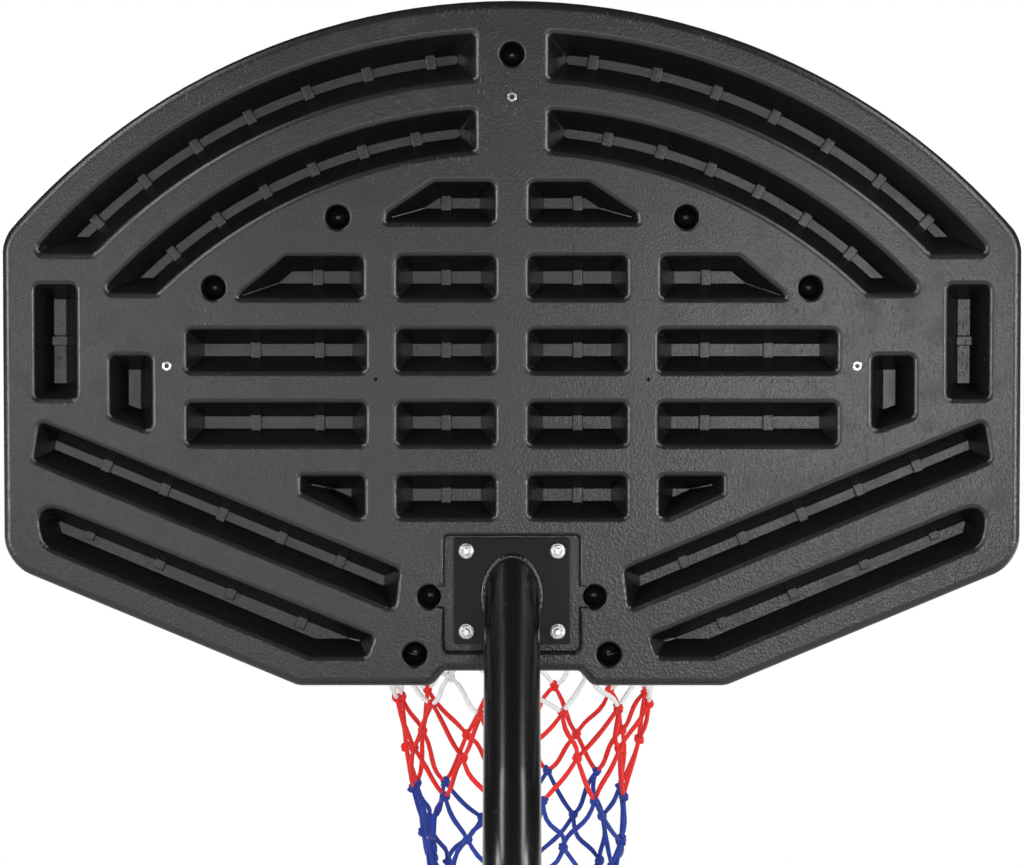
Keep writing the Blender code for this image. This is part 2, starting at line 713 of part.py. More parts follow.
def make_through_holes():
    """Holes of the mounting bolts and panel screws, from the plate to the rim's back plate."""
    front = -BOARD_THICK - PANEL_THICK - PLATE_THICK - 0.006
    for x, y, radius, sides in through_spots():
        mesh = rod_mesh("through_hole", radius + GAP, (x, y, front), (x, y, CUT_SPARE), sides)
        cutter("through_hole", mesh, through_holes).parent = board_frame


def make_front_panel():
    outline = board_outline(notched=False, margin=PANEL_MARGIN)
    back = -BOARD_THICK - GAP
    panel = part("front_panel", prism_mesh("front_panel", outline, back - PANEL_THICK, back), PANEL_WHITE)
    place(panel, (0, BACK_Y, BOARD_Z), BOARD_TURN)
    boolean(panel, through_holes)
    for i, (x, y) in enumerate(stretched(PANEL_SCREWS), 1):
        spot = (-x, 0, BOARD_Z + y)
        shank = PANEL_SCREW_RADIUS
        head = PANEL_FRONT_Y - GAP
        top = head - PANEL_HEAD_THICK
        end = BACK_Y + PANEL_NUT_THICK + 0.001
        profile = [
            (0, end), (shank, end), (shank, head), (PANEL_HEAD_RADIUS, head),
            (PANEL_HEAD_RADIUS * 2 / 3, top), (0, top),
        ]
        screw = turned(f"panel_screw_{i}", profile, ZINC, steps=10, closed=False)
        place(screw, spot, ALONG_Y)
        seat = BACK_Y + GAP
        nut_end = BACK_Y + PANEL_NUT_THICK
        place(hollow(f"panel_nut_{i}", PANEL_NUT_RADIUS, shank, seat, nut_end, ZINC, 6), spot, ALONG_Y)


def make_pole_plate_and_bolts():
    """The plate on the board's back, the rim's plate on its front, and four bolts through both."""
    half = PLATE_WIDTH / 2
    low, high = PLATE_Z - PLATE_HEIGHT / 2, PLATE_Z + PLATE_HEIGHT / 2
    for name, back, look in (
        ("pole_plate", PLATE_BACK_Y, BLACK_STEEL),
        ("rim_plate", PANEL_FRONT_Y - GAP, ORANGE_STEEL),
    ):
        mesh = box_mesh(name, (-half, back - PLATE_THICK, low), (half, back, high))
        boolean(part(name, mesh, look), through_holes)
    head = RIM_PLATE_FRONT_Y - GAP
    washer = PLATE_BACK_Y + GAP
    nut = washer + WASHER_THICK + GAP
    end = nut + NUT_THICK + BOLT_PAST_NUT
    shank = BOLT_RADIUS
    for i, (x, y) in enumerate(bolt_spots(), 1):
        spot = (-x, 0, BOARD_Z + y)
        profile = [
            (0, end), (shank, end), (shank, head), (DOME_HEAD_RADIUS, head),
            (0.7 * DOME_HEAD_RADIUS, head - 0.83 * DOME_HEAD_THICK), (0, head - DOME_HEAD_THICK),
        ]
        place(turned(f"mount_bolt_{i}", profile, ZINC, steps=12, closed=False), spot, ALONG_Y)
        ring = hollow(f"mount_washer_{i}", WASHER_RADIUS, shank, washer, washer + WASHER_THICK, ZINC, 16)
        place(ring, spot, ALONG_Y)
        place(hollow(f"mount_nut_{i}", NUT_RADIUS, shank, nut, nut + NUT_THICK, ZINC, 6), spot, ALONG_Y)


def top_pole_line(before, after):
    """The top pole's axis: sloping down from the plate, one bend, then down the lower pole."""
    slope = Vector((0, cos(POLE_LEAN), -sin(POLE_LEAN)))
    joint = Vector((0, PLATE_BACK_Y, TOP_POLE_Z))
    straight = (-PLATE_BACK_Y - POLE_BEND_RADIUS * (1 - sin(POLE_LEAN))) / cos(POLE_LEAN)
    bend = joint + slope * straight
    centre = bend - POLE_BEND_RADIUS * Vector((0, sin(POLE_LEAN), cos(POLE_LEAN)))
    line = [joint - slope * before]
    steps = 8
    for i in range(steps + 1):
        turn = POLE_LEAN + (pi / 2 - POLE_LEAN) * i / steps
        line.append(centre + POLE_BEND_RADIUS * Vector((0, sin(turn), cos(turn))))
    line.append(Vector((0, 0, TOP_POLE_BOTTOM - after)))
    return line


def make_top_pole():
    """The bent tube, mitred on the plate, and the weld bead round its end."""
    block_low = (-0.1, PLATE_BACK_Y - 0.12, PLATE_Z - 0.12)
    block_high = (0.1, PLATE_BACK_Y + GAP, PLATE_Z + 0.12)
    plate_side = cutter("plate_side", box_mesh("plate_side", block_low, block_high))
    bore = cutter("pole_bore", tube_mesh("bore", top_pole_line(0.09, 0.02), POLE_RADIUS - POLE_WALL, 8))
    pole = part("top_pole", tube_mesh("top_pole", top_pole_line(0.06, 0), POLE_RADIUS, 8), BLACK_STEEL)
    boolean(pole, bore)
    boolean(pole, plate_side)

    skin = cutter("pole_skin", tube_mesh("skin", top_pole_line(0.06, 0), POLE_RADIUS + GAP, 8))
    count = 28
    out = WELD_RADIUS / 3
    loop = []
    for i in range(count):
        turn = 2 * pi * i / count
        x = (POLE_RADIUS + out) * cos(turn)
        z = (POLE_RADIUS / cos(POLE_LEAN) + out) * sin(turn)
        loop.append((x, PLATE_BACK_Y + out, TOP_POLE_Z + z - out))
    bead = part("weld_bead", tube_mesh("weld_bead", loop, WELD_RADIUS, 1, cyclic=True), BLACK_STEEL)
    boolean(bead, plate_side)
    boolean(bead, skin)


def make_ring():
    """The ring rod with its net hooks, J-shaped wires that open outwards and upwards."""
    steps = 4 * HOOK_COUNT
    circle = []
    for i in range(steps):
        turn = 2 * pi * i / steps
        circle.append((RING_RADIUS * cos(turn), RING_Y + RING_RADIUS * sin(turn), RING_Z))
    ring = part("rim_ring", tube_mesh("rim_ring", circle, RING_ROD_RADIUS, 3, cyclic=True), ORANGE_STEEL)
    low = -RING_ROD_RADIUS - HOOK_DROP
    bend = arc((HOOK_BEND_RADIUS, low), HOOK_BEND_RADIUS, pi, 2 * pi, 5)
    shape = [(0, -RING_ROD_RADIUS / 2)] + bend + [(2 * HOOK_BEND_RADIUS, low + HOOK_TIP)]
    for turn in hook_turns():
        points = []
        for out, z in shape:
            reach = RING_RADIUS + out
            points.append((reach * sin(turn), RING_Y + reach * cos(turn), RING_Z + z))
        cutter("net_hook", tube_mesh("net_hook", points, HOOK_WIRE_RADIUS, 1), hooks)
    boolean(ring, hooks, "UNION")


def hook_turns():
    """Places of the hooks round the ring, measured from the board's side."""
    return [2 * pi * (i + 0.5) / HOOK_COUNT for i in range(HOOK_COUNT)]


def make_rim_arm_and_braces():
    """A folded channel under the ring's board side, and a bent rod on each side of it."""
    top = RING_Z - RING_ROD_RADIUS - GAP
    back = RIM_PLATE_FRONT_Y - GAP
    tip = RING_Y + RING_RADIUS - RING_ROD_RADIUS - 0.002
    side = [(tip, top), (tip, top - ARM_TIP_DEPTH), (back, top - ARM_DEPTH), (back, top)]
    mesh = prism_mesh("rim_arm", side, -ARM_WIDTH / 2, ARM_WIDTH / 2)
    mesh.transform(YZ_OUTLINE)
    arm = part("rim_arm", mesh, ORANGE_STEEL)
    inner_top = top - ARM_WALL
    low = top - ARM_DEPTH - 0.01
    hollow_side = [(tip - 0.01, low), (back + 0.01, low), (back + 0.01, inner_top), (tip - 0.01, inner_top)]
    mesh = prism_mesh("arm_hollow", hollow_side, -ARM_WIDTH / 2 + ARM_WALL, ARM_WIDTH / 2 - ARM_WALL)
    mesh.transform(YZ_OUTLINE)
    boolean(arm, cutter("arm_hollow", mesh))

    under = RING_Z - RING_ROD_RADIUS - BRACE_RADIUS - GAP
    start_x = PLATE_WIDTH / 2 - BRACE_FROM_EDGE
    start_z = PLATE_Z - BRACE_BELOW_MIDDLE
    for side_name, sign in (("left", 1), ("right", -1)):
        inner = RING_RADIUS - RING_ROD_RADIUS / 2
        outer = RING_RADIUS + 0.020
        points = [
            (sign * start_x, back, start_z),
            (sign * start_x, back - 0.012, start_z),
            (sign * outer * sin(BRACE_TURN), RING_Y + outer * cos(BRACE_TURN), under),
            (sign * inner * sin(BRACE_TURN), RING_Y + inner * cos(BRACE_TURN), under),
        ]
        name = f"rim_brace_{side_name}"
        part(name, tube_mesh(name, points, BRACE_RADIUS, 3), ORANGE_STEEL)


def net_radius(row):
    """The net's radius at a row of knots: it narrows fast below the ring and then hangs straight."""
    left = max(0, 1 - row / NET_TAPER_ROWS)
    return NET_END_RADIUS + (RING_RADIUS - NET_END_RADIUS) * left**2


def make_net():
    """A tube of diamond meshes that hangs from the hooks, its cords joined at the knots."""
    bm = bmesh.new()
    rows = []
    for row in range(1, NET_ROWS + 1):
        radius = net_radius(row)
        z = RING_Z - 0.005 - NET_ROW_PITCH * row
        knots = []
        for i in range(HOOK_COUNT):
            turn = 2 * pi * (i + (row % 2) / 2 + 0.5) / HOOK_COUNT
            knots.append(bm.verts.new((radius * sin(turn), RING_Y + radius * cos(turn), z)))
        rows.append(knots)
    loop_radius = RING_RADIUS + HOOK_BEND_RADIUS
    loop_z = RING_Z - RING_ROD_RADIUS - HOOK_DROP - HOOK_BEND_RADIUS + HOOK_WIRE_RADIUS + NET_CORD / 2 + 0.001
    for i, turn in enumerate(hook_turns()):
        ends = []
        for side in (-1, 1):
            here = turn + side * NET_LOOP_HALF / loop_radius
            ends.append(bm.verts.new((loop_radius * sin(here), RING_Y + loop_radius * cos(here), loop_z)))
        bm.faces.new((ends[0], ends[1], rows[0][i], rows[1][i], rows[0][i - 1]))
    for row in range(NET_ROWS - 2):
        for i in range(HOOK_COUNT):
            first = (i - row % 2) % HOOK_COUNT
            second = (first + 1) % HOOK_COUNT
            bm.faces.new((rows[row][i], rows[row + 1][first], rows[row + 2][i], rows[row + 1][second]))
    net = part("net", to_mesh(bm, "net"), NET_CORD_WHITE)
    cords = net.modifiers.new("cords", "WIREFRAME")
    cords.thickness = NET_CORD
    cords.offset = 0
    cords.use_boundary = True
    cords.use_replace = True
    cords.use_even_offset = False


def make_lower_pole():
    """The outer tube, with the collar that guides the top pole and the screw that clamps it."""
    inner = POLE_RADIUS + SLIDE_CLEARANCE
    outer = LOWER_POLE_RADIUS
    top = LOWER_POLE_TOP
    profile = [(outer, top), (outer, LOWER_POLE_BOTTOM), (inner, LOWER_POLE_BOTTOM), (inner, top)]
    pole = turned("lower_pole", profile, BLACK_STEEL)
    collar_outer = outer + COLLAR_WALL
    collar_bore = outer + GAP
    guide = POLE_RADIUS + COLLAR_CLEARANCE
    low, high = top - COLLAR_LENGTH, top + COLLAR_CAP
    profile = [
        (collar_outer - 0.002, high), (collar_outer, high - 0.003), (collar_outer, low), (collar_bore, low),
        (collar_bore, top + GAP), (guide, top + GAP), (guide, high),
    ]
    collar = turned("guide_collar", profile, BLACK_PLASTIC)

    hole = rod_mesh("clamp_hole", CLAMP_SCREW_RADIUS + GAP, (0, 0.02, CLAMP_Z), (0, 0.06, CLAMP_Z), 12)
    clamp_hole = cutter("clamp_hole", hole)
    boolean(pole, clamp_hole)
    boolean(collar, clamp_hole)
    nut_start = collar_outer + GAP
    nut_end = nut_start + CLAMP_NUT_THICK
    spot = (0, 0, CLAMP_Z)
    nut = hollow("clamp_nut", CLAMP_NUT_RADIUS, CLAMP_SCREW_RADIUS, nut_start, nut_end, ZINC, 6)
    place(nut, spot, ALONG_Y)
    tip = POLE_RADIUS + CLAMP_TIP_GAP
    knob_start = nut_end + KNOB_OFF_NUT
    knob_end = knob_start + KNOB_LENGTH
    screw_end = knob_start + KNOB_SOCKET_DEPTH
    radius = CLAMP_SCREW_RADIUS
    profile = [(0, screw_end), (radius, screw_end), (radius, tip + 0.001), (radius - 0.001, tip), (0, tip)]
    place(turned("clamp_screw", profile, ZINC, steps=12, closed=False), spot, ALONG_Y)
    count = 8 * KNOB_LOBES
    outline = []
    for i in range(count):
        turn = 2 * pi * i / count
        reach = KNOB_RADIUS * (1 + KNOB_WAVE * cos(KNOB_LOBES * turn)) / (1 + KNOB_WAVE)
        outline.append((reach * cos(turn), reach * sin(turn)))
    knob = part("clamp_knob", prism_mesh("clamp_knob", outline, knob_start, knob_end), BLACK_PLASTIC)
    place(knob, spot, ALONG_Y)
    socket = rod_mesh("knob_socket", radius + GAP, (0, 0, knob_start - 0.01), (0, 0, screw_end + GAP), 12)
    boolean(knob, place(cutter("knob_socket", socket), spot, ALONG_Y))


def tab_mesh(name, length):
    """The flattened end of a stay: a tab from its round end at the bolt along +x."""
    half = TAB_HALF
    corners = [(-half, -half, half), (length, -half, 0), (length, half, 0), (-half, half, half)]
    return prism_mesh(name, rounded(corners, 4), -TAB_THICK / 2, TAB_THICK / 2)


def make_stays():
    """Two stays from the lower pole's sides back and down to the tank."""
    hub_x = LOWER_POLE_RADIUS + GAP + TAB_THICK / 2
    foot_y = BASE_LENGTH - BASE_FRONT - STAY_FOOT_FROM_REAR
    foot_z = BASE_HEIGHT + GAP + TAB_THICK / 2
    bolt = rod_mesh("stay_bolt_hole", BOLT_RADIUS + GAP, (-0.06, 0, STAY_BOLT_Z), (0.06, 0, STAY_BOLT_Z), 12)
    bolt_hole = cutter("stay_bolt_hole", bolt)
    boolean(bpy.data.objects["lower_pole"], bolt_hole)
    beside_pole = sqrt((LOWER_POLE_RADIUS + STAY_RADIUS + STAY_OFF_POLE) ** 2 - hub_x**2)
    for side_name, sign in (("left", 1), ("right", -1)):
        hub = Vector((sign * hub_x, 0, STAY_BOLT_Z))
        foot = Vector((sign * STAY_FOOT_X, foot_y, foot_z))
        across = foot - hub
        hub_way = Vector((0, across.y, across.z)).normalized()
        level = Vector((across.x, across.y, 0))
        foot_way = -level.normalized()
        start = hub + hub_way * beside_pole / hub_way.y
        lift = STAY_RADIUS * level.length / across.length
        end = foot + foot_way * (TAB_LENGTH - 2 * TAB_THICK) + Vector((0, 0, lift))
        name = f"stay_{side_name}"
        stay = part(name, rod_mesh(name, STAY_RADIUS, start, end, 12), BLACK_STEEL)
        hub_tab = cutter("hub_tab", tab_mesh("hub_tab", (start - hub).length + TAB_THICK))
        hub_side = Vector((1, 0, 0))
        hub_tab.matrix_world = frame_at(hub, hub_way, hub_side)
        foot_tab = cutter("foot_tab", tab_mesh("foot_tab", TAB_LENGTH))
        foot_tab.matrix_world = frame_at(foot, foot_way, Vector((0, 0, 1)))
        boolean(stay, hub_tab, "UNION")
        boolean(stay, foot_tab, "UNION")
        boolean(stay, bolt_hole)
        foot_low = (foot.x, foot.y, BASE_HEIGHT - 0.030)
        hole = rod_mesh("foot_hole", BOLT_RADIUS + GAP, foot_low, (foot.x, foot.y, foot_z + 0.02), 12)
        foot_hole = cutter("foot_hole", hole, foot_holes)
        boolean(stay, foot_hole)
        boss_ends = ((foot.x, foot.y, 0), (foot.x, foot.y, BASE_HEIGHT))
        boss = rod_mesh("foot_boss", BOLT_RADIUS + STAY_BOSS_WALL, *boss_ends, 12)
        cutter("foot_boss", boss, tank_walls)
        head = foot_z + TAB_THICK / 2 + GAP
        hex_bolt(f"stay_foot_bolt_{side_name}", (foot.x, foot.y, head), (0, 0, -1), STAY_BOLT_DEPTH)
    reach = hub_x + TAB_THICK / 2 + GAP
    hex_bolt("stay_bolt", (-reach, 0, STAY_BOLT_Z), (1, 0, 0), 2 * reach + NUT_THICK + BOLT_PAST_NUT)
    nut = hollow("stay_nut", NUT_RADIUS, BOLT_RADIUS, reach, reach + NUT_THICK, ZINC, 6)
    place(nut, (0, 0, STAY_BOLT_Z), (0, pi / 2, 0))


def frame_at(origin, x_way, z_way):
    """A placing matrix whose x runs along one direction and z along another."""
    y_way = z_way.cross(x_way)
    turn = Matrix((x_way, y_way, z_way)).transposed().to_4x4()
    return Matrix.Translation(origin) @ turn


def hex_bolt(name, seat, way, length):
    """A hexagon-headed bolt: its head stands on the seat and its shank runs along the given way."""
    seat, way = Vector(seat), Vector(way)
    shank = rod_mesh(name, BOLT_RADIUS, seat - way * 0.001, seat + way * length, 12)
    head = rod_mesh("bolt_head", NUT_RADIUS, seat - way * BOLT_HEAD_THICK, seat, 6)
    return boolean(part(name, shank, ZINC), cutter("bolt_head", head), "UNION")


def hollow(name, outer, shank, low, high, look, sides):
    """A nut or washer round a shank; its bore keeps clear of the shank on every side."""
    bore = (shank + GAP) / cos(pi / sides)
    return turned(name, [(outer, high), (outer, low), (bore, low), (bore, high)], look, steps=sides)


def tank_block(wall):
    """The tank's outside, or with a wall given the space inside it: sides lean in towards the top."""
    rear = BASE_LENGTH - BASE_FRONT
    half = BASE_WIDTH / 2
    front_round, rear_round = BASE_FRONT_CORNER, BASE_REAR_CORNER
    corners = [
        (half, -BASE_FRONT, front_round), (half, rear, rear_round),
        (-half, rear, rear_round), (-half, -BASE_FRONT, front_round),
    ]
    outline = inset(rounded(corners, 4), wall)
    lean = BASE_DRAFT * (BASE_HEIGHT - 2 * wall) / BASE_HEIGHT
    bm = bmesh.new()
    face = bm.faces.new([bm.verts.new((x, y, wall)) for x, y in outline])
    grown = bmesh.ops.extrude_face_region(bm, geom=[face])
    raised = [v for v in grown["geom"] if isinstance(v, bmesh.types.BMVert)]
    for vert, (x, y) in zip(sorted_like(raised, outline), inset(outline, lean)):
        vert.co = (x, y, BASE_HEIGHT - wall)
    bmesh.ops.recalc_face_normals(bm, faces=bm.faces)
    top_edge = [e for e in bm.edges if all(v.co.z > BASE_HEIGHT - wall - 0.0001 for v in e.verts)]
    offset = BASE_EDGE_ROUND - wall
    bmesh.ops.bevel(bm, geom=top_edge, offset=offset, segments=2, affect="EDGES", profile=0.5)
    return to_mesh(bm, "tank")


def sorted_like(verts, outline):
    """The raised vertices in the order of the outline that they were raised from."""
    return [min(verts, key=lambda v: (v.co.x - x) ** 2 + (v.co.y - y) ** 2) for x, y in outline]


def wheel_well(name, sign, grow, group):
    inner = WHEEL_X - WHEEL_WIDTH / 2 - WELL_GAP / 2 - grow
    reach = WHEEL_RADIUS + WELL_GAP + grow
    xs = sorted((sign * inner, sign * (BASE_WIDTH / 2 + 0.03)))
    low = (xs[0], AXLE_Y - reach - 0.03, -0.01)
    high = (xs[1], AXLE_Y + reach, AXLE_Z + reach)
    return cutter(name, box_mesh(name, low, high), group)


def undercut(name, grow, group):
    """A wedge off the lower front edge, moved into the tank by a wall for the inside."""
    slope = UNDERCUT_HEIGHT / UNDERCUT_LENGTH
    back = -BASE_FRONT + UNDERCUT_LENGTH + grow * sqrt(1 + 1 / slope**2)
    far, low = -BASE_FRONT - 0.03, -0.02
    side = [(far, low), (back - low / slope, low), (far, (back - far) * slope)]
    mesh = prism_mesh(name, side, -BASE_WIDTH / 2 - 0.03, BASE_WIDTH / 2 + 0.03)
    mesh.transform(YZ_OUTLINE)
    return cutter(name, mesh, group)


def make_base():
    """The hollow tank with its pole well, axle tube, wheel wells and filling neck."""
    tank = part("base_tank", tank_block(0), BLACK_PLASTIC)
    space = cutter("tank_space", tank_block(BASE_WALL))
    well_radius = LOWER_POLE_RADIUS + 0.001
    well_low = LOWER_POLE_BOTTOM - GAP
    well = rod_mesh("pole_well", well_radius, (0, 0, well_low), (0, 0, BASE_HEIGHT + 0.02), 24)
    cutter("pole_well", well, tank_cuts)
    sleeve = rod_mesh("pole_sleeve", well_radius + BASE_WALL, (0, 0, -0.01), (0, 0, BASE_HEIGHT + 0.02), 24)
    cutter("pole_sleeve", sleeve, tank_walls)
    reach = BASE_WIDTH / 2 + 0.03
    ends = ((-reach, AXLE_Y, AXLE_Z), (reach, AXLE_Y, AXLE_Z))
    cutter("axle_bore", rod_mesh("axle_bore", AXLE_RADIUS + GAP, *ends, 12), tank_cuts)
    cutter("axle_sleeve", rod_mesh("axle_sleeve", AXLE_RADIUS + BASE_WALL, *ends, 12), tank_walls)
    for sign in (1, -1):
        wheel_well("wheel_well", sign, 0, tank_cuts)
        wheel_well("wheel_well_wall", sign, BASE_WALL, tank_walls)
    undercut("undercut", 0, tank_cuts)
    undercut("undercut_wall", BASE_WALL, tank_walls)
    neck_y = BASE_LENGTH - BASE_FRONT - STAY_FOOT_FROM_REAR
    neck_low = (0, neck_y, BASE_HEIGHT - 2 * BASE_WALL)
    neck = rod_mesh("fill_neck", FILL_NECK_RADIUS, neck_low, (0, neck_y, BASE_HEIGHT + 0.02), 20)
    cutter("fill_neck", neck, tank_cuts)
    for wall in tank_walls.objects:
        boolean(space, wall)
    boolean(tank, space)
    for cut in list(tank_cuts.objects) + list(foot_holes.objects):
        boolean(tank, cut)

    plug = FILL_NECK_RADIUS - 2 * GAP
    rim = FILL_NECK_RADIUS + CAP_LIP
    profile = [
        (0, CAP_HEIGHT), (rim - 0.003, CAP_HEIGHT), (rim, CAP_HEIGHT - 0.003), (rim, GAP), (plug, GAP),
        (plug, -PLUG_DEPTH), (0, -PLUG_DEPTH),
    ]
    cap = turned("fill_cap", profile, BLACK_PLASTIC, steps=20, closed=False)
    place(cap, (0, neck_y, BASE_HEIGHT))


def make_wheels():
    """Two plastic wheels on one axle, each held by a push-on cap."""
    axle_half = WHEEL_X + WHEEL_WIDTH / 2 + AXLE_PAST_WHEEL
    along = ((-axle_half, AXLE_Y, AXLE_Z), (axle_half, AXLE_Y, AXLE_Z))
    part("axle", rod_mesh("axle", AXLE_RADIUS, *along, 16), ZINC)
    half = WHEEL_WIDTH / 2
    bore = AXLE_RADIUS + WHEEL_RUNNING_GAP
    radius = WHEEL_RADIUS
    web = half - WHEEL_WEB_SINK
    profile = [
        (radius - 0.003, half), (radius, half - 0.004), (radius, -half + 0.004), (radius - 0.003, -half),
        (bore, -half), (bore, half - 0.002), (WHEEL_HUB_RADIUS - 0.003, half - 0.002),
        (WHEEL_HUB_RADIUS, web), (radius - WHEEL_RIM, web), (radius - WHEEL_RIM + 0.005, half),
    ]
    cap_outer = AXLE_RADIUS + AXLE_CAP_WALL
    for side_name, sign in (("left", 1), ("right", -1)):
        turn = (0, sign * pi / 2, 0)
        wheel = turned(f"wheel_{side_name}", profile, WHEEL_PLASTIC, steps=24)
        place(wheel, (sign * WHEEL_X, AXLE_Y, AXLE_Z), turn)
        cap_profile = [
            (0, 0.0045), (cap_outer - 0.002, 0.0045), (cap_outer, 0.002), (cap_outer, -0.005),
            (AXLE_RADIUS + GAP, -0.005), (AXLE_RADIUS + GAP, GAP), (0, GAP),
        ]
        cap = turned(f"axle_cap_{side_name}", cap_profile, ZINC, steps=16, closed=False)
        place(cap, (sign * axle_half, AXLE_Y, AXLE_Z), turn)


board_frame = place(bpy.data.objects.new("board_frame", None), (0, BACK_Y, BOARD_Z), BOARD_TURN)
cutters.objects.link(board_frame)
pockets = cutter_group("board_pockets")
shells = cutter_group("board_pocket_shells")
through_holes = cutter_group("through_holes")
hooks = cutter_group("net_hooks")
foot_holes = cutter_group("stay_foot_holes")
tank_walls = cutter_group("tank_walls")
tank_cuts = cutter_group("tank_cuts")

make_top_pole()
make_ring()
make_rim_arm_and_braces()
make_through_holes()
make_backboard()
make_front_panel()
make_pole_plate_and_bolts()
make_net()
make_lower_pole()
make_stays()
make_base()
make_wheels()
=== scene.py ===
"""Looks of the portable basketball hoop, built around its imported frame; sizes are in metres."""

import json
import random
from math import atan2, copysign, cos, pi, radians, sin, sqrt, tan

import bmesh
import bpy
from mathutils import Matrix, Vector

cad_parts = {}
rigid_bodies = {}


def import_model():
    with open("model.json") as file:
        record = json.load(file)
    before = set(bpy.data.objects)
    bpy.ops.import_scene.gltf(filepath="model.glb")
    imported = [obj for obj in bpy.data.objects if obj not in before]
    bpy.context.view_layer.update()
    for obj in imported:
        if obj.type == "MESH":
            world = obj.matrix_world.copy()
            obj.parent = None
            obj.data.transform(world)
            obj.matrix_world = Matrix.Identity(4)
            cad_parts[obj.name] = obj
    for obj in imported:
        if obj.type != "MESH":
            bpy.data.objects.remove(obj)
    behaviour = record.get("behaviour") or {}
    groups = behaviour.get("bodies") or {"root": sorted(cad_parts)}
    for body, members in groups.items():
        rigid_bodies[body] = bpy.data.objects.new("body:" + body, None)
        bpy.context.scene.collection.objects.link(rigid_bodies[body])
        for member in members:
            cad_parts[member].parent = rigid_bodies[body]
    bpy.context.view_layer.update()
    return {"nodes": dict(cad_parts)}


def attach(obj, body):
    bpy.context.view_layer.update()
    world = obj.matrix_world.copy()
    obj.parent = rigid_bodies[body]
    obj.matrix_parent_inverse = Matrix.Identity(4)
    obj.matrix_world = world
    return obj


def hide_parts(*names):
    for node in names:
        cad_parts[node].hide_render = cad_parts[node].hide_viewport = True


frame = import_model()
scene = bpy.context.scene
scene.view_settings.view_transform = "Standard"

# Camera and studio
#
# The photograph was taken from behind the board, a little above its middle, in a white studio. Two
# soft boxes stand beside the camera, two strips edge the board and two long ones hang over the pole;
# the last three light the court side, the base and the rear.
camera = bpy.data.objects.new("camera", bpy.data.cameras.new("camera"))
camera.location = (0, 3.27, 2.574)
camera.rotation_euler = (radians(90 - 2.32), 0, pi)
camera.data.sensor_width = 36
camera.data.lens = 114.1
camera.data.clip_end = 100
scene.collection.objects.link(camera)
scene.camera = camera

UP = Vector((0, 0, 1))
for name, spot, target, width, height, brightness, long_way in (
    ("board_key", (-0.8, 3.55, 2.32), (-0.3, -0.23, 2.45), 0.5, 0.85, 18.5, UP),
    ("board_fill", (1.00, 3.55, 2.38), (0.4, -0.23, 2.45), 0.4, 0.75, 13.0, UP),
    ("edge_strip_left", (2.9, 1.7, 2.5), (0, -0.23, 2.5), 0.9, 1.8, 13.0, UP),
    ("edge_strip_right", (-2.9, 1.7, 2.5), (0, -0.23, 2.5), 0.9, 1.8, 13.0, UP),
    ("pole_strip_left", (1.5, 0.99, 3.77), (0, 0, 2.06), 0.45, 2.3, 9.0, (0, -1.6, 1.7)),
    ("pole_strip_right", (-1.5, 0.82, 3.52), (0, 0, 2.06), 0.45, 2.1, 8.0, (0, -1.4, 1.5)),
    ("court_light", (1.6, -4.6, 3.6), (0, -0.4, 1.4), 2.2, 2.2, 3.1, UP),
    ("base_light", (-3.6, -1.6, 0.9), (0, 0, 0.6), 1.6, 1.6, 1.8, UP),
    ("rear_light", (2.6, 3.6, 1.3), (0, 0.2, 0.5), 1.4, 1.4, 1.4, UP),
):
    lamp = bpy.data.lights.new(name, "AREA")
    lamp.shape = "RECTANGLE"
    lamp.size = width
    lamp.size_y = height
    lamp.energy = brightness * pi * width * height
    toward = (Vector(target) - Vector(spot)).normalized()
    across = toward.cross(Vector(long_way)).normalized()
    turn = Matrix((across, across.cross(toward), -toward)).transposed().to_4x4()
    softbox = bpy.data.objects.new(name, lamp)
    softbox.matrix_world = Matrix.Translation(spot) @ turn
    softbox.visible_camera = False
    scene.collection.objects.link(softbox)


def add(tree, kind, feeds=None, **settings):
    """A shader node; each of its sockets takes a link or a value."""
    made = tree.nodes.new("ShaderNode" + kind)
    for key, value in settings.items():
        setattr(made, key, value)
    for socket, source in (feeds or {}).items():
        if isinstance(source, bpy.types.NodeSocket):
            tree.links.new(source, made.inputs[socket])
        else:
            made.inputs[socket].default_value = source
    return made


def sums(tree, *steps):
    """Chain of Math nodes: each step is (operation, value or socket) on what came before."""
    total = steps[0]
    for operation, other in steps[1:]:
        total = add(tree, "Math", {0: total, 1: other}, operation=operation).outputs[0]
    return total


def noise(tree, place, scale, detail):
    return add(tree, "TexNoise", {"Vector": place, "Scale": scale, "Detail": detail}).outputs[0]


def ranged(tree, value, start, end, low=0.0, high=1.0):
    """A value whose way from start to end becomes low to high."""
    return add(tree, "MapRange", {0: value, 1: start, 2: end, 3: low, 4: high}).outputs[0]


def blended(tree, share, one, other):
    """A colour between two others."""
    return add(tree, "Mix", {0: share, 6: one, 7: other}, data_type="RGBA").outputs[2]


def split(tree, vector):
    return add(tree, "SeparateXYZ", {0: vector}).outputs


def background_rays(tree):
    """Camera, glossy and transmission rays, which see the white background."""
    rays = add(tree, "LightPath").outputs
    mirror_rays = sums(tree, rays["Is Glossy Ray"], ("MAXIMUM", rays["Is Transmission Ray"]))
    return rays["Is Camera Ray"], mirror_rays


def plain_material(name, roughness, metallic=0.0, specular=0.5):
    """A new node material with its shader's sockets and Object coordinates."""
    made = bpy.data.materials.new(name)
    made.use_nodes = True
    shader = made.node_tree.nodes["Principled BSDF"].inputs
    shader["Roughness"].default_value = roughness
    shader["Metallic"].default_value = metallic
    shader["Specular IOR Level"].default_value = specular
    return made, made.node_tree, shader, add(made.node_tree, "TexCoord").outputs["Object"]


def as_object(name, shape):
    mesh = bpy.data.meshes.new(name)
    shape.to_mesh(mesh)
    shape.free()
    made = bpy.data.objects.new(name, mesh)
    scene.collection.objects.link(made)
    return made


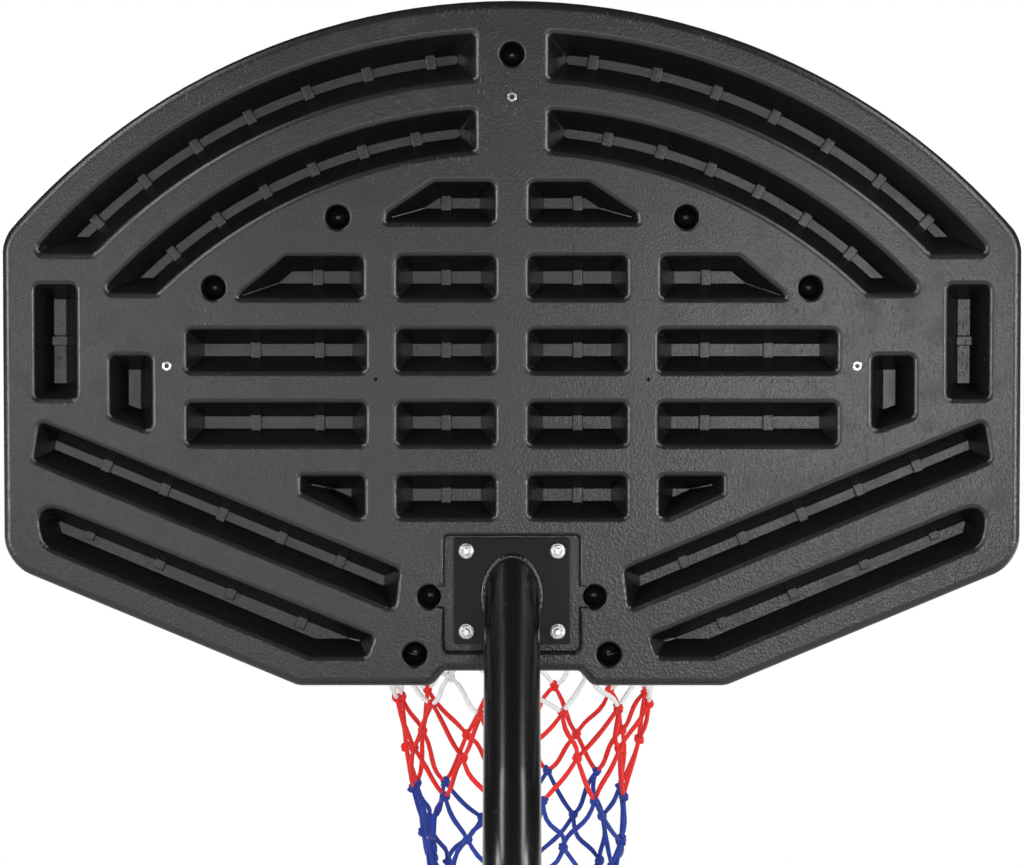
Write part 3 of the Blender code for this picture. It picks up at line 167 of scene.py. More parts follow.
world = bpy.data.worlds.new("studio")
world.use_nodes = True
scene.world = world
tree = world.node_tree
camera_rays, mirror_rays = background_rays(tree)
way = split(tree, add(tree, "TexCoord").outputs["Generated"])
backdrop = ranged(tree, way["Y"], -0.8, -0.98)
dim = ranged(tree, mirror_rays, 0, 1, 0.42, 0.07)
level = sums(tree, mirror_rays, ("MULTIPLY", backdrop), ("MAXIMUM", camera_rays), ("MAXIMUM", dim))
tree.links.new(level, tree.nodes["Background"].inputs["Strength"])
tree.nodes["Background"].inputs["Color"].default_value = (1, 1, 1, 1)

shape = bmesh.new()
bmesh.ops.create_circle(shape, cap_ends=True, segments=96, radius=40)
floor = as_object("studio_floor", shape)
look, tree, shader, place = plain_material("studio_floor", 0.9, specular=0.1)
far = add(tree, "VectorMath", {0: place}, operation="LENGTH").outputs["Value"]
far = add(tree, "MapRange", {0: far, 1: 1.4, 2: 4.5}, interpolation_type="SMOOTHSTEP").outputs[0]
camera_rays, mirror_rays = background_rays(tree)
seen = sums(tree, camera_rays, ("MAXIMUM", mirror_rays), ("MULTIPLY", far))
tone = blended(tree, noise(tree, place, 9.0, 4.0), (0.8, 0.8, 0.8, 1), (0.84, 0.84, 0.84, 1))
tree.links.new(tone, shader["Base Color"])
glow = add(tree, "Emission", {"Color": (1, 1, 1, 1), "Strength": 1.0}).outputs[0]
both = add(tree, "MixShader", {0: seen, 1: tree.nodes["Principled BSDF"].outputs[0], 2: glow})
tree.links.new(both.outputs[0], tree.nodes["Material Output"].inputs["Surface"])
floor.data.materials.append(look)

# Base tank
#
# A blow-moulded polyethylene tank that is filled with water or sand: sides that lean in, a rounded
# top edge, a parting line round it, and shallow panels that stiffen the top. Its front is cut away
# below, so that the hoop tips onto its wheels.
FRONT_Y = -0.27
REAR_Y = 0.66
TANK_HALF = 0.31
TANK_TOP = 0.15
TANK_LEAN = 0.03
PARTING_Z = 0.058
POLE_WELL = 0.0345
NECK_Y = 0.53
NECK_RADIUS = 0.024


def node_group(name, gets, gives):
    """An empty shader group with named sockets; also its input and output nodes' sockets."""
    group = bpy.data.node_groups.new(name, "ShaderNodeTree")
    for label, value in gets.items():
        kind = "NodeSocketVector" if value is None else "NodeSocketFloat"
        socket = group.interface.new_socket(label, in_out="INPUT", socket_type=kind)
        if value is not None:
            socket.default_value = value
    for label in gives:
        group.interface.new_socket(label, in_out="OUTPUT", socket_type="NodeSocketFloat")
    return group, group.nodes.new("NodeGroupInput").outputs, group.nodes.new("NodeGroupOutput").inputs


mould_grain, given, result = node_group(
    "mould_grain", {"Place": None, "Pebbles": 260.0, "Pebble": 1.0, "Ticks": 0.0}, ("Height", "Tone", "Dust")
)
tree, place = mould_grain, given["Place"]
cells = add(tree, "TexVoronoi", {"Vector": place, "Scale": given["Pebbles"]}).outputs["Distance"]
pebbled = sums(tree, cells, ("MULTIPLY", given["Pebble"]))
long_place = add(tree, "Mapping", {"Vector": place, "Scale": (430, 430, 130)}).outputs[0]
marks = ranged(tree, noise(tree, long_place, 1.0, 2.0), 0.6, 0.72)
patchy = ranged(tree, noise(tree, place, 14.0, 3.0), 0.4, 0.62)
marks = sums(tree, marks, ("MULTIPLY", patchy), ("MULTIPLY", given["Ticks"]))
fine = noise(tree, place, 700.0, 3.0)
roughened = sums(tree, fine, ("MULTIPLY", 0.5), ("ADD", pebbled), ("SUBTRACT", marks))
tree.links.new(roughened, result["Height"])
tree.links.new(sums(tree, noise(tree, place, 5.0, 5.0), ("SUBTRACT", marks)), result["Tone"])
tree.links.new(ranged(tree, noise(tree, place, 38.0, 6.0), 0.52, 0.8), result["Dust"])


def surfaced(tree, shader, colour, roughness, height, strength, distance):
    """Feed a shader's colour, roughness and relief."""
    relief = add(tree, "Bump", {"Strength": strength, "Distance": distance, "Height": height}).outputs[0]
    for socket, source in (("Base Color", colour), ("Roughness", roughness), ("Normal", relief)):
        tree.links.new(source, shader[socket])


def patterned(name, pattern, values, colours, wear, roughness, relief, **settings):
    """A material on one shader group: a clouded colour, a gloss that wears and a relief."""
    made, tree, shader, place = plain_material(name, roughness[0], **settings)
    group = add(tree, "Group", {"Place": place, **values}, node_tree=pattern).outputs
    worn = ranged(tree, group[wear], 0, 1, *roughness)
    surfaced(tree, shader, blended(tree, group["Tone"], *colours), worn, group["Height"], *relief)
    return made


def moulded_plastic(name, dark, light, roughness, pebbles, bump):
    """Moulded plastic: pebble grain, a clouded tone and a little dust."""
    return patterned(
        name, mould_grain, {"Pebbles": pebbles}, (dark, light), "Dust", (roughness - 0.03, roughness + 0.12),
        (1.0, bump),
    )


tank_plastic = moulded_plastic(
    "tank_plastic", (0.01, 0.01, 0.011, 1), (0.022, 0.022, 0.023, 1), 0.48, 230.0, 0.0004
)


def block(low, high):
    """An upright box between two corners."""
    low, high = Vector(low), Vector(high)
    shape = bmesh.new()
    size = Matrix.Diagonal((*(high - low), 1))
    bmesh.ops.create_cube(shape, size=1, matrix=Matrix.Translation((low + high) / 2) @ size)
    return shape


def both_sides(corners):
    """Corners (x, y, radius) of one side, followed by their mirror images."""
    return corners + [(-x, y, radius) for x, y, radius in reversed(corners) if x > 0.0001]


def rounded_face(corners, z, steps):
    """A flat face from corners (x, y, radius), with each corner rounded."""
    shape = bmesh.new()
    spots = [shape.verts.new((x, y, z)) for x, y, _ in corners]
    shape.faces.new(spots)
    for spot, (_, _, radius) in zip(spots, corners):
        if radius:
            ways = [edge.other_vert(spot).co - spot.co for edge in spot.link_edges]
            reach = radius / tan(ways[0].angle(ways[1]) / 2)
            bmesh.ops.bevel(
                shape, geom=[spot], offset=reach, segments=steps, profile=0.5, affect="VERTICES", material=-1
            )
    return shape


def only(kind, parts):
    return [part for part in parts if isinstance(part, kind)]


def raised(shape, rise, lean=0.0):
    """Give a face thickness upwards; its sides may lean in on the way."""
    top = only(bmesh.types.BMFace, bmesh.ops.duplicate(shape, geom=shape.faces[:])["geom"])
    if lean:
        bmesh.ops.inset_region(shape, faces=top, thickness=lean, use_boundary=True)
    else:
        top = only(bmesh.types.BMFace, bmesh.ops.extrude_face_region(shape, geom=top)["geom"])
    bmesh.ops.translate(shape, verts=top[0].verts[:], vec=(0, 0, rise))
    bmesh.ops.remove_doubles(shape, verts=shape.verts, dist=0.000001)
    bmesh.ops.recalc_face_normals(shape, faces=shape.faces)
    return shape


def softened(shape, edges, radius, steps):
    """Round the given edges."""
    bmesh.ops.bevel(
        shape, geom=edges, offset=radius, segments=steps, profile=0.5, affect="EDGES", material=-1
    )
    return shape


def edges_at(shape, z):
    return [edge for edge in shape.edges if all(abs(vert.co.z - z) < 0.0001 for vert in edge.verts)]


def span(edge):
    """How far an edge reaches along x, y and z."""
    return [abs(way) for way in edge.verts[0].co - edge.verts[1].co]


def together(*shapes):
    """Several shapes as one."""
    whole = shapes[0]
    for shape in shapes[1:]:
        mesh = bpy.data.meshes.new("shape")
        shape.to_mesh(mesh)
        shape.free()
        whole.from_mesh(mesh)
        bpy.data.meshes.remove(mesh)
    return whole


def carved(shape, cuts):
    """Take the cuts out of a shape in one go."""
    body = as_object("body", shape)
    tools = bpy.data.collections.new("tools")
    scene.collection.children.link(tools)
    for cut in cuts:
        bmesh.ops.recalc_face_normals(cut, faces=cut.faces)
        tool = as_object("tool", cut)
        scene.collection.objects.unlink(tool)
        tools.objects.link(tool)
    carving = body.modifiers.new("carving", "BOOLEAN")
    carving.operand_type = "COLLECTION"
    carving.collection = tools
    carving.solver = "EXACT"
    bpy.context.view_layer.update()
    left = bmesh.new()
    left.from_mesh(body.evaluated_get(bpy.context.evaluated_depsgraph_get()).to_mesh())
    for used in list(tools.objects) + [body]:
        bpy.data.objects.remove(used, do_unlink=True)
    bpy.data.collections.remove(tools)
    return left


def fitted(name, shape, look, body, slot, *replaced, angle=35):
    """Turn a shape into a piece that rides on a body and stands for the named nodes."""
    bmesh.ops.recalc_face_normals(shape, faces=shape.faces)
    piece = as_object(name, shape)
    piece.data.shade_smooth()
    piece.data.set_sharp_from_angle(angle=radians(angle))
    piece.data.materials.append(look)
    piece.modifiers.new("evened", "WEIGHTED_NORMAL").keep_sharp = True
    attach(piece, body)
    if replaced:
        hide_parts(*replaced)
    return piece


def round_bar(start, end, radius, sides=32):
    start, end = Vector(start), Vector(end)
    turn = (end - start).to_track_quat("Z", "Y").to_matrix().to_4x4()
    shape = bmesh.new()
    bmesh.ops.create_cone(
        shape, cap_ends=True, segments=sides, radius1=radius, radius2=radius, depth=(end - start).length,
        matrix=Matrix.Translation((start + end) / 2) @ turn,
    )
    return shape


def everything(shape):
    return shape.verts[:] + shape.edges[:] + shape.faces[:]


def closed(shape):
    """Fill every open ring of edges."""
    bmesh.ops.holes_fill(shape, edges=[edge for edge in shape.edges if edge.is_boundary], sides=0)
    return shape


def cut_back(shape, spot, normal):
    """Take off what lies beyond a plane, and close the cut."""
    bmesh.ops.bisect_plane(
        shape, geom=everything(shape), plane_co=spot, plane_no=normal, clear_outer=True, dist=0.00001
    )
    bmesh.ops.remove_doubles(shape, verts=shape.verts, dist=0.00002)
    return closed(shape)


def mirrored(low, high):
    """A stretch along x and its mirror image."""
    return [(low, high), (-high, -low)]


def wheel_wells():
    """The two spaces at the tank's front corners that the wheels stand in."""
    return [block((low, -0.33, -0.01), (high, -0.159, 0.139)) for low, high in mirrored(0.2655, 0.34)]


tank_corners = both_sides([(TANK_HALF, FRONT_Y, 0.075), (TANK_HALF, REAR_Y, 0.11)])
tank = raised(rounded_face(tank_corners, 0, 10), TANK_TOP, TANK_LEAN)
softened(tank, edges_at(tank, TANK_TOP), 0.02, 6)
panels = [
    [(high, -0.085, 0.02), (high, 0.395, 0.03), (low, 0.395, 0.03), (low, -0.085, 0.02)]
    for low, high in mirrored(0.075, 0.245)
]
panels.append(both_sides([(0.165, -0.205, 0.02), (0.165, -0.11, 0.02)]))
panels.append(both_sides([(0.05, 0.19, 0.02), (0.05, 0.395, 0.02)]))
tank_cuts = [raised(rounded_face(corners, TANK_TOP - 0.006, 6), 0.016, -0.012) for corners in panels]
for well in wheel_wells():
    crosswise = [edge for edge in well.edges if span(edge)[0] > 0.01 and edge.verts[0].co.z > 0.1]
    tank_cuts.append(softened(well, crosswise, 0.035, 8))
tank_cuts.append(round_bar((0, 0, 0.0117), (0, 0, 0.2), POLE_WELL, 48))
tank_cuts.append(round_bar((0, NECK_Y, 0.12), (0, NECK_Y, 0.2), NECK_RADIUS, 40))
tank = carved(tank, tank_cuts)
cut_back(tank, (0, FRONT_Y + 0.075, 0), Vector((0, -0.04, -0.075)).normalized())

lean_here = TANK_LEAN * PARTING_Z / TANK_TOP - 0.0012
ridge_corners = [
    (x - copysign(lean_here, x), y - copysign(lean_here, y), radius) for x, y, radius in tank_corners
]
ridge = raised(rounded_face(ridge_corners, PARTING_Z, 10), 0.0022)
ridge = carved(ridge, wheel_wells() + [round_bar((0, 0, 0), (0, 0, 0.2), POLE_WELL, 48)])
ribs = []
for low, high in mirrored(0.095, 0.225):
    for i in range(5):
        y = 0.01 + 0.075 * i
        rib = block((low, y - 0.009, TANK_TOP - 0.007), (high, y + 0.009, TANK_TOP - 0.001))
        ribs.append(softened(rib, rib.edges[:], 0.0025, 3))
neck = round_bar((0, NECK_Y, TANK_TOP - 0.004), (0, NECK_Y, TANK_TOP - 0.0002), 0.036, 48)
softened(neck, edges_at(neck, TANK_TOP - 0.0002), 0.0015, 2)
neck = carved(neck, [round_bar((0, NECK_Y, 0.1), (0, NECK_Y, 0.2), NECK_RADIUS, 40)])
tank = together(tank, ridge, neck, *ribs)
fitted("tank_moulding", tank, tank_plastic, "base", "black_plastic", "base_tank", angle=30)

# Filling cap
#
# A moulded cap that plugs the tank's filling neck; it has a grip bar across its top and a knurled
# side, and it is pulled out to fill the tank.


def turned(shape, steps):
    """Spin a section right round the z axis."""
    bmesh.ops.spin(
        shape, geom=shape.verts[:] + shape.edges[:], cent=(0, 0, 0), axis=(0, 0, 1), angle=2 * pi,
        steps=steps, use_merge=True, use_duplicate=False,
    )
    bmesh.ops.remove_doubles(shape, verts=shape.verts, dist=0.000001)
    return shape


def spun(profile, steps):
    """A turned shape about the z axis, from points (radius, height) in order along its outside."""
    shape = bmesh.new()
    line = [shape.verts.new((radius, 0, height)) for radius, height in profile]
    for pair in zip(line, line[1:]):
        shape.edges.new(pair)
    return turned(shape, steps)


def moved(shape, matrix):
    shape.transform(matrix)
    return shape


def repeated(shape, places):
    """The same shape at several places, as one."""
    whole = bmesh.new()
    for place in places:
        whole = together(whole, moved(shape.copy(), place))
    return whole


def all_round(count):
    return [Matrix.Rotation(2 * pi * i / count, 4, "Z") for i in range(count)]


cap = spun([
    (0, 0.0068), (0.02, 0.0068), (0.0215, 0.0075), (0.0265, 0.009), (0.029, 0.0085), (0.0308, 0.007),
    (0.0308, 0.0006), (0.03, 0.0003), (0.0234, 0.0003), (0.023, -0.008), (0.0215, -0.01), (0, -0.01),
], 64)
grip = block((-0.017, -0.0035, 0.006), (0.017, 0.0035, 0.0099))
softened(grip, grip.edges[:], 0.0014, 3)
tooth = block((0.03, -0.0015, 0.0012), (0.031, 0.0015, 0.0068))
softened(tooth, tooth.edges[:], 0.0004, 2)
cap = moved(together(cap, grip, repeated(tooth, all_round(24))), Matrix.Translation((0, NECK_Y, TANK_TOP)))
cap_plastic = moulded_plastic(
    "cap_plastic", (0.012, 0.012, 0.013, 1), (0.024, 0.024, 0.025, 1), 0.42, 600.0, 0.0002
)
fitted("cap_moulding", cap, cap_plastic, "cap", "black_plastic", "fill_cap")

# Wheels and axle
#
# Two injection-moulded wheels with ribs between hub and tread turn on a zinc plated steel axle that
# runs through the tank; a push-on cap holds each wheel.
AXLE_Y = -0.23
AXLE_Z = 0.068
WHEEL_X = 0.287
AXLE_END = 0.31
SIDES = {"left": 1, "right": -1}

plating, given, result = node_group("plating", {"Place": None, "Spangle": 900.0}, ("Height", "Tone"))
tree, place = plating, given["Place"]
crystal = add(tree, "TexVoronoi", {"Vector": place, "Scale": given["Spangle"]}).outputs["Distance"]
smear = noise(tree, place, 160.0, 4.0)
tree.links.new(sums(tree, crystal, ("MULTIPLY", 0.4), ("ADD", smear)), result["Height"])
tree.links.new(ranged(tree, smear, 0.35, 0.68), result["Tone"])


def plated_steel(name, dark, light, roughness):
    """Zinc plated steel with a faint crystal pattern and smears."""
    return patterned(
        name, plating, {}, (dark, light), "Tone", (roughness + 0.12, roughness - 0.06), (0.6, 0.00006),
        metallic=1.0,
    )


zinc = plated_steel("zinc_plate", (0.42, 0.43, 0.44, 1), (0.78, 0.79, 0.8, 1), 0.3)
frame["nodes"]["axle"].material_slots[0].material = zinc
wheel_plastic = moulded_plastic(
    "wheel_plastic", (0.012, 0.012, 0.012, 1), (0.028, 0.027, 0.026, 1), 0.58, 420.0, 0.0003
)
for name, side in SIDES.items():
    hub, end = [
        Matrix.Translation((side * x, AXLE_Y, AXLE_Z)) @ Matrix.Rotation(side * pi / 2, 4, "Y")
        for x in (WHEEL_X, AXLE_END)
    ]
    tread = spun([
        (0.0065, -0.0165), (0.0185, -0.0165), (0.019, -0.016), (0.02, -0.0095), (0.044, -0.0095),
        (0.0475, -0.015), (0.049, -0.0168), (0.0588, -0.0168), (0.0606, -0.016), (0.0617, -0.0135),
        (0.0617, -0.008), (0.0606, -0.0072), (0.0606, -0.0052), (0.0618, -0.0044), (0.0619, 0.0044),
        (0.0606, 0.0052), (0.0606, 0.0072), (0.0617, 0.008), (0.0617, 0.0135), (0.0606, 0.016),
        (0.0588, 0.0168), (0.05, 0.0168), (0.0486, 0.016), (0.0452, 0.0082), (0.044, 0.0078),
        (0.02, 0.0078), (0.0192, 0.0084), (0.0186, 0.0142), (0.0172, 0.0149), (0.0065, 0.0149),
        (0.0065, -0.0165),
    ], 64)
    spoke = block((0.017, -0.0018, 0.006), (0.0478, 0.0018, 0.0132))
    softened(spoke, edges_at(spoke, 0.0132), 0.0008, 2)
    wheel = moved(together(tread, repeated(spoke, all_round(8))), hub)
    fitted(f"wheel_moulding_{name}", wheel, wheel_plastic, f"wheel_{name}", "wheel_plastic", f"wheel_{name}")
    push_cap = spun([
        (0, 0.0045), (0.005, 0.0043), (0.0082, 0.0036), (0.01, 0.0022), (0.0108, 0.0002), (0.011, -0.0048),
        (0.0104, -0.005), (0.0063, -0.005), (0.0063, 0.0003), (0, 0.0003),
    ], 40)
    fitted(f"push_cap_{name}", moved(push_cap, end), zinc, "base", "zinc", f"axle_cap_{name}")

# Lower pole
#
# A straight tube of powder-coated steel that stands in the tank's well. The stays brace it, and the
# top pole slides in it.
powder_coat, given, result = node_group(
    "powder_coat", {"Place": None, "Peel": 520.0}, ("Height", "Tone", "Scuff")
)
tree, place = powder_coat, given["Place"]
tree.links.new(noise(tree, place, given["Peel"], 2.0), result["Height"])
tree.links.new(noise(tree, place, 12.0, 4.0), result["Tone"])
rubbed = add(tree, "Mapping", {"Vector": place, "Scale": (160, 160, 18)}).outputs[0]
tree.links.new(ranged(tree, noise(tree, rubbed, 1.0, 4.0), 0.58, 0.82), result["Scuff"])


def coated_steel(name, dark, light, roughness, peel, bump, specular=0.5):
    """Powder-coated steel: orange peel, a clouded tone and rubbed places."""
    return patterned(
        name, powder_coat, {"Peel": peel}, (dark, light), "Scuff", (roughness, roughness + 0.15), (0.7, bump),
        specular=specular,
    )


pole_coat = coated_steel(
    "pole_coat", (0.0035, 0.0035, 0.0038, 1), (0.0065, 0.0065, 0.007, 1), 0.2, 420.0, 0.00005
)
tube = spun([
    (0.0335, 0.0125), (0.0335, 1.5995), (0.033, 1.6), (0.032, 1.6), (0.0315, 1.5995), (0.0315, 0.0125),
    (0.032, 0.012), (0.033, 0.012), (0.0335, 0.0125),
], 72)
fitted("lower_tube", tube, pole_coat, "base", "black_steel", "lower_pole")

# Stays and their bolts
#
# Two steel tubes with flattened ends brace the lower pole. One bolt runs through both upper ends and
# the pole, and a bolt holds each foot on the tank.
STAY_BOLT_Z = 0.56
STAY_TUBE = 0.009
FOOT = Vector((0.19, 0.53, 0.1523))
FOOT_TOP_Z = 0.15462
BOLT = 0.004
BOLT_HEAD = 0.0075


def tube_ring(shape, centre, along, flat_side, half_width, half_thick):
    """A ring of a tube that may be pressed flat; the flat side is square to the thickness."""
    across = flat_side.cross(along).normalized()
    thick = along.cross(across).normalized()
    turn = Matrix((across * half_width, thick * half_thick, along.normalized())).transposed().to_4x4()
    made = bmesh.ops.create_circle(shape, segments=28, radius=1, matrix=Matrix.Translation(centre) @ turn)
    return sorted({edge for vert in made["verts"] for edge in vert.link_edges}, key=lambda edge: edge.index)


for name, side in SIDES.items():
    hub = Vector((side * 0.0358, 0, STAY_BOLT_Z))
    foot = Vector((side * FOOT.x, FOOT.y, FOOT.z))
    across = foot - hub
    down = Vector((0, across.y, across.z)).normalized()
    level = Vector((across.x, across.y, 0)).normalized()
    out = Vector((side, 0, 0))
    upper = hub + down * 0.052 + out * 0.004
    lower = foot - level * 0.04 + UP * 0.0095
    rod = (lower - upper).normalized()
    side_on = (out - rod * out.dot(rod)).normalized()
    top_on = (UP - rod * UP.dot(rod)).normalized()
    rod_end = lower - rod * 0.012
    upper_run = [(hub + down * way, down, out, wide, thick) for way, wide, thick in (
        (-0.0118, 0.003, 0.001), (-0.0095, 0.008, 0.0019), (-0.004, 0.0116, 0.002),
        (0.016, 0.012, 0.002), (0.026, 0.0118, 0.0024),
    )]
    upper_run.append((hub + down * 0.04 + out * 0.002, (down + rod).normalized(), out, 0.0104, 0.006))
    middle = upper.lerp(lower, 0.5)
    upper_run += [(spot, rod, side_on, STAY_TUBE, STAY_TUBE) for spot in (upper, middle, rod_end)]
    lower_run = [
        (rod_end, rod, top_on, STAY_TUBE, STAY_TUBE), (lower, (rod + level).normalized(), UP, 0.01, 0.0066),
        (foot - level * 0.026 + UP * 0.0022, level, UP, 0.0116, 0.0032),
    ]
    lower_run += [(foot + level * way, level, UP, wide, thick) for way, wide, thick in (
        (-0.014, 0.012, 0.0021), (0.004, 0.0116, 0.002), (0.0095, 0.008, 0.0019), (0.0118, 0.003, 0.001),
    )]
    stay = bmesh.new()
    for run in (upper_run, lower_run):
        rings = [tube_ring(stay, *station) for station in run]
        for one, other in zip(rings, rings[1:]):
            bmesh.ops.bridge_loops(stay, edges=one + other)
    fitted(f"stay_tube_{name}", closed(stay), pole_coat, "base", "black_steel", f"stay_{name}", angle=50)


def hexagon(radius, low, high, chamfer=0.0008):
    """A hexagon of bar, with the corners of both ends turned off."""
    shape = bmesh.new()
    bmesh.ops.create_cone(
        shape, cap_ends=True, segments=6, radius1=radius, radius2=radius, depth=high - low,
        matrix=Matrix.Translation((0, 0, (low + high) / 2)),
    )
    inner = radius - chamfer * 1.6
    steps = 18
    for i in range(steps):
        turn = 2 * pi * (i + 0.5) / steps
        for end, sign in ((high, 1), (low, -1)):
            normal = Vector((0.5 * cos(turn), 0.5 * sin(turn), sign * 0.866))
            cut_back(shape, Vector((inner * cos(turn), inner * sin(turn), end)), normal)
    return shape


def threaded(radius, low, high, pitch=0.00125):
    """A bolt's end with thread grooves below its rounded tip."""
    profile = [(0, high), (radius * 0.72, high), (radius * 0.86, high - 0.0005)]
    z = high - 0.0007
    while z - pitch > low:
        profile += [(radius, z - pitch * 0.25), (radius, z - pitch * 0.45), (radius * 0.87, z - pitch * 0.85)]
        z -= pitch
    return spun(profile + [(radius, low), (0, low)], 24)


reach = 0.0381
place = Matrix.Translation((0, 0, STAY_BOLT_Z)) @ Matrix.Rotation(pi / 2, 4, "Y")
bolt_head = hexagon(BOLT_HEAD, -reach - 0.0053, -reach)
stay_bolt = together(bolt_head, threaded(BOLT, -reach - 0.001, reach + 0.0095))
fitted("stay_bolt_turned", moved(stay_bolt, place), zinc, "base", "zinc", "stay_bolt")
stay_nut = hexagon(BOLT_HEAD, reach + 0.0001, reach + 0.0065)
fitted("stay_nut_turned", moved(stay_nut, place), zinc, "base", "zinc", "stay_nut")
for name, side in SIDES.items():
    foot_bolt = together(hexagon(BOLT_HEAD, 0, 0.0053), round_bar((0, 0, 0.001), (0, 0, -0.0255), BOLT, 24))
    moved(foot_bolt, Matrix.Translation((side * FOOT.x, FOOT.y, FOOT_TOP_Z)))
    fitted(f"foot_bolt_turned_{name}", foot_bolt, zinc, "base", "zinc", f"stay_foot_bolt_{name}")

# Guide collar and clamp
#
# A moulded collar on the lower pole's top guides the top pole. A screw with a moulded knob runs in a
# nut on the collar and clamps the height.
COLLAR_LOW = 1.53
COLLAR_HIGH = 1.612
CLAMP_Z = 1.565
KNOB_LOW = 0.0578
KNOB_HIGH = 0.0798
KNOB_RADIUS = 0.025
KNOB_LOBES = 5
LOBE_HEIGHT = 0.12
collar = spun([
    (0.0338, COLLAR_LOW), (0.037, COLLAR_LOW), (0.0382, COLLAR_LOW + 0.0012), (0.0385, COLLAR_LOW + 0.01),
    (0.0385, 1.5965), (0.0382, 1.598), (0.0372, 1.599), (0.0372, 1.601), (0.0382, 1.602), (0.0384, 1.6085),
    (0.0374, 1.6112), (0.035, COLLAR_HIGH), (0.0309, COLLAR_HIGH), (0.0309, 1.6003), (0.0338, 1.6003),
    (0.0338, COLLAR_LOW),
], 72)
collar_plastic = moulded_plastic(
    "collar_plastic", (0.01, 0.01, 0.011, 1), (0.02, 0.02, 0.021, 1), 0.4, 700.0, 0.0002
)
fitted("collar_moulding", collar, collar_plastic, "base", "black_plastic", "guide_collar")
place = Matrix.Translation((0, 0, CLAMP_Z)) @ Matrix.Rotation(-pi / 2, 4, "X")
nut = carved(hexagon(0.011, 0.0388, 0.0478, 0.0012), [round_bar((0, 0, 0), (0, 0, 0.1), 0.0054, 24)])
fitted("clamp_nut_turned", moved(nut, place), zinc, "base", "zinc", "clamp_nut")
screw = threaded(0.005, 0.031, 0.0718, 0.0015)
fitted("clamp_screw_turned", moved(screw, place), zinc, "clamp", "zinc", "clamp_screw")
knob = bmesh.new()
for vert in bmesh.ops.create_circle(knob, segments=100, radius=1, cap_ends=True)["verts"]:
    turn = atan2(vert.co.y, vert.co.x)
    vert.co *= KNOB_RADIUS * (1 + LOBE_HEIGHT * cos(KNOB_LOBES * turn)) / (1 + LOBE_HEIGHT)
    vert.co.z = KNOB_LOW
raised(knob, KNOB_HIGH - KNOB_LOW)
softened(knob, edges_at(knob, KNOB_LOW) + edges_at(knob, KNOB_HIGH), 0.0028, 4)
dish = spun([(0, 0.004), (0.01, 0.0042), (0.0125, 0.006), (0.0125, -0.0015), (0, -0.0015)], 40)
moved(dish, Matrix.Translation((0, 0, KNOB_HIGH)) @ Matrix.Diagonal((1, 1, -1, 1)))
knob = carved(knob, [dish, round_bar((0, 0, 0.05), (0, 0, 0.0721), 0.0052, 24)])
fitted("knob_moulding", moved(knob, place), cap_plastic, "clamp", "black_plastic", "clamp_knob")

# Top pole, plate and weld
#
# One steel tube that is bent over at the top, cut at a slope and welded round to a flat plate, then
# powder-coated glossy black as one piece. Four bolts hold the plate in its recess in the board.
POLE_RADIUS = 0.03
POLE_TOP_Z = 2.255
POLE_END_Z = 0.6402
PLATE_BACK_Y = -0.235
PLATE_Z = 2.26
BEND_RADIUS = 0.2
LEAN = radians(45)
slope = Vector((0, cos(LEAN), -sin(LEAN)))
straight = (-PLATE_BACK_Y - BEND_RADIUS * (1 - sin(LEAN))) / cos(LEAN)
bend_start = Vector((0, PLATE_BACK_Y, POLE_TOP_Z)) + slope * straight
bend_centre = bend_start - BEND_RADIUS * Vector((0, sin(LEAN), cos(LEAN)))


def stretched(shape, edges, vec):
    """Pull a ring of edges out into a stretch of tube, and give the new ring."""
    made = bmesh.ops.extrude_edge_only(shape, edges=edges)["geom"]
    bmesh.ops.translate(shape, verts=only(bmesh.types.BMVert, made), vec=vec)
    return [edge for edge in only(bmesh.types.BMEdge, made) if edge.is_boundary]


pole = bmesh.new()
start = bend_start - slope * (straight + 0.06)
turn = slope.to_track_quat("Z", "Y").to_matrix().to_4x4()
bmesh.ops.create_circle(pole, segments=96, radius=POLE_RADIUS, matrix=Matrix.Translation(start) @ turn)
ring = stretched(pole, pole.edges[:], bend_start - start)
bent = bmesh.ops.spin(
    pole, geom=ring, cent=bend_centre, axis=(1, 0, 0), angle=-(pi / 2 - LEAN), steps=18, use_merge=False,
    use_duplicate=False,
)
stretched(pole, only(bmesh.types.BMEdge, bent["geom_last"]), Vector((0, 0, POLE_END_Z - bend_centre.z)))
cut_back(pole, (0, PLATE_BACK_Y + 0.0003, 0), (0, -1, 0))
gloss_coat = coated_steel(
    "gloss_coat", (0.0022, 0.0022, 0.0024, 1), (0.0036, 0.0036, 0.0038, 1), 0.21, 90.0, 0.00006
)
fitted("top_tube", pole, gloss_coat, "head", "black_steel", "top_pole")

plate_corners = both_sides([(0.063, -0.058, 0.003), (0.063, 0.058, 0.003)])
plate = raised(rounded_face(plate_corners, -0.005, 4), 0.005)
softened(plate, edges_at(plate, 0), 0.0007, 2)
TO_BACK = Matrix(((-1, 0, 0, 0), (0, 0, 1, 0), (0, 1, 0, 0), (0, 0, 0, 1)))
plate_coat = coated_steel(
    "plate_coat", (0.004, 0.004, 0.0042, 1), (0.007, 0.007, 0.0075, 1), 0.12, 700.0, 0.00003, specular=0.22
)
moved(plate, Matrix.Translation((0, PLATE_BACK_Y, PLATE_Z)) @ TO_BACK)
fitted("plate_steel", plate, plate_coat, "head", "black_steel", "pole_plate")


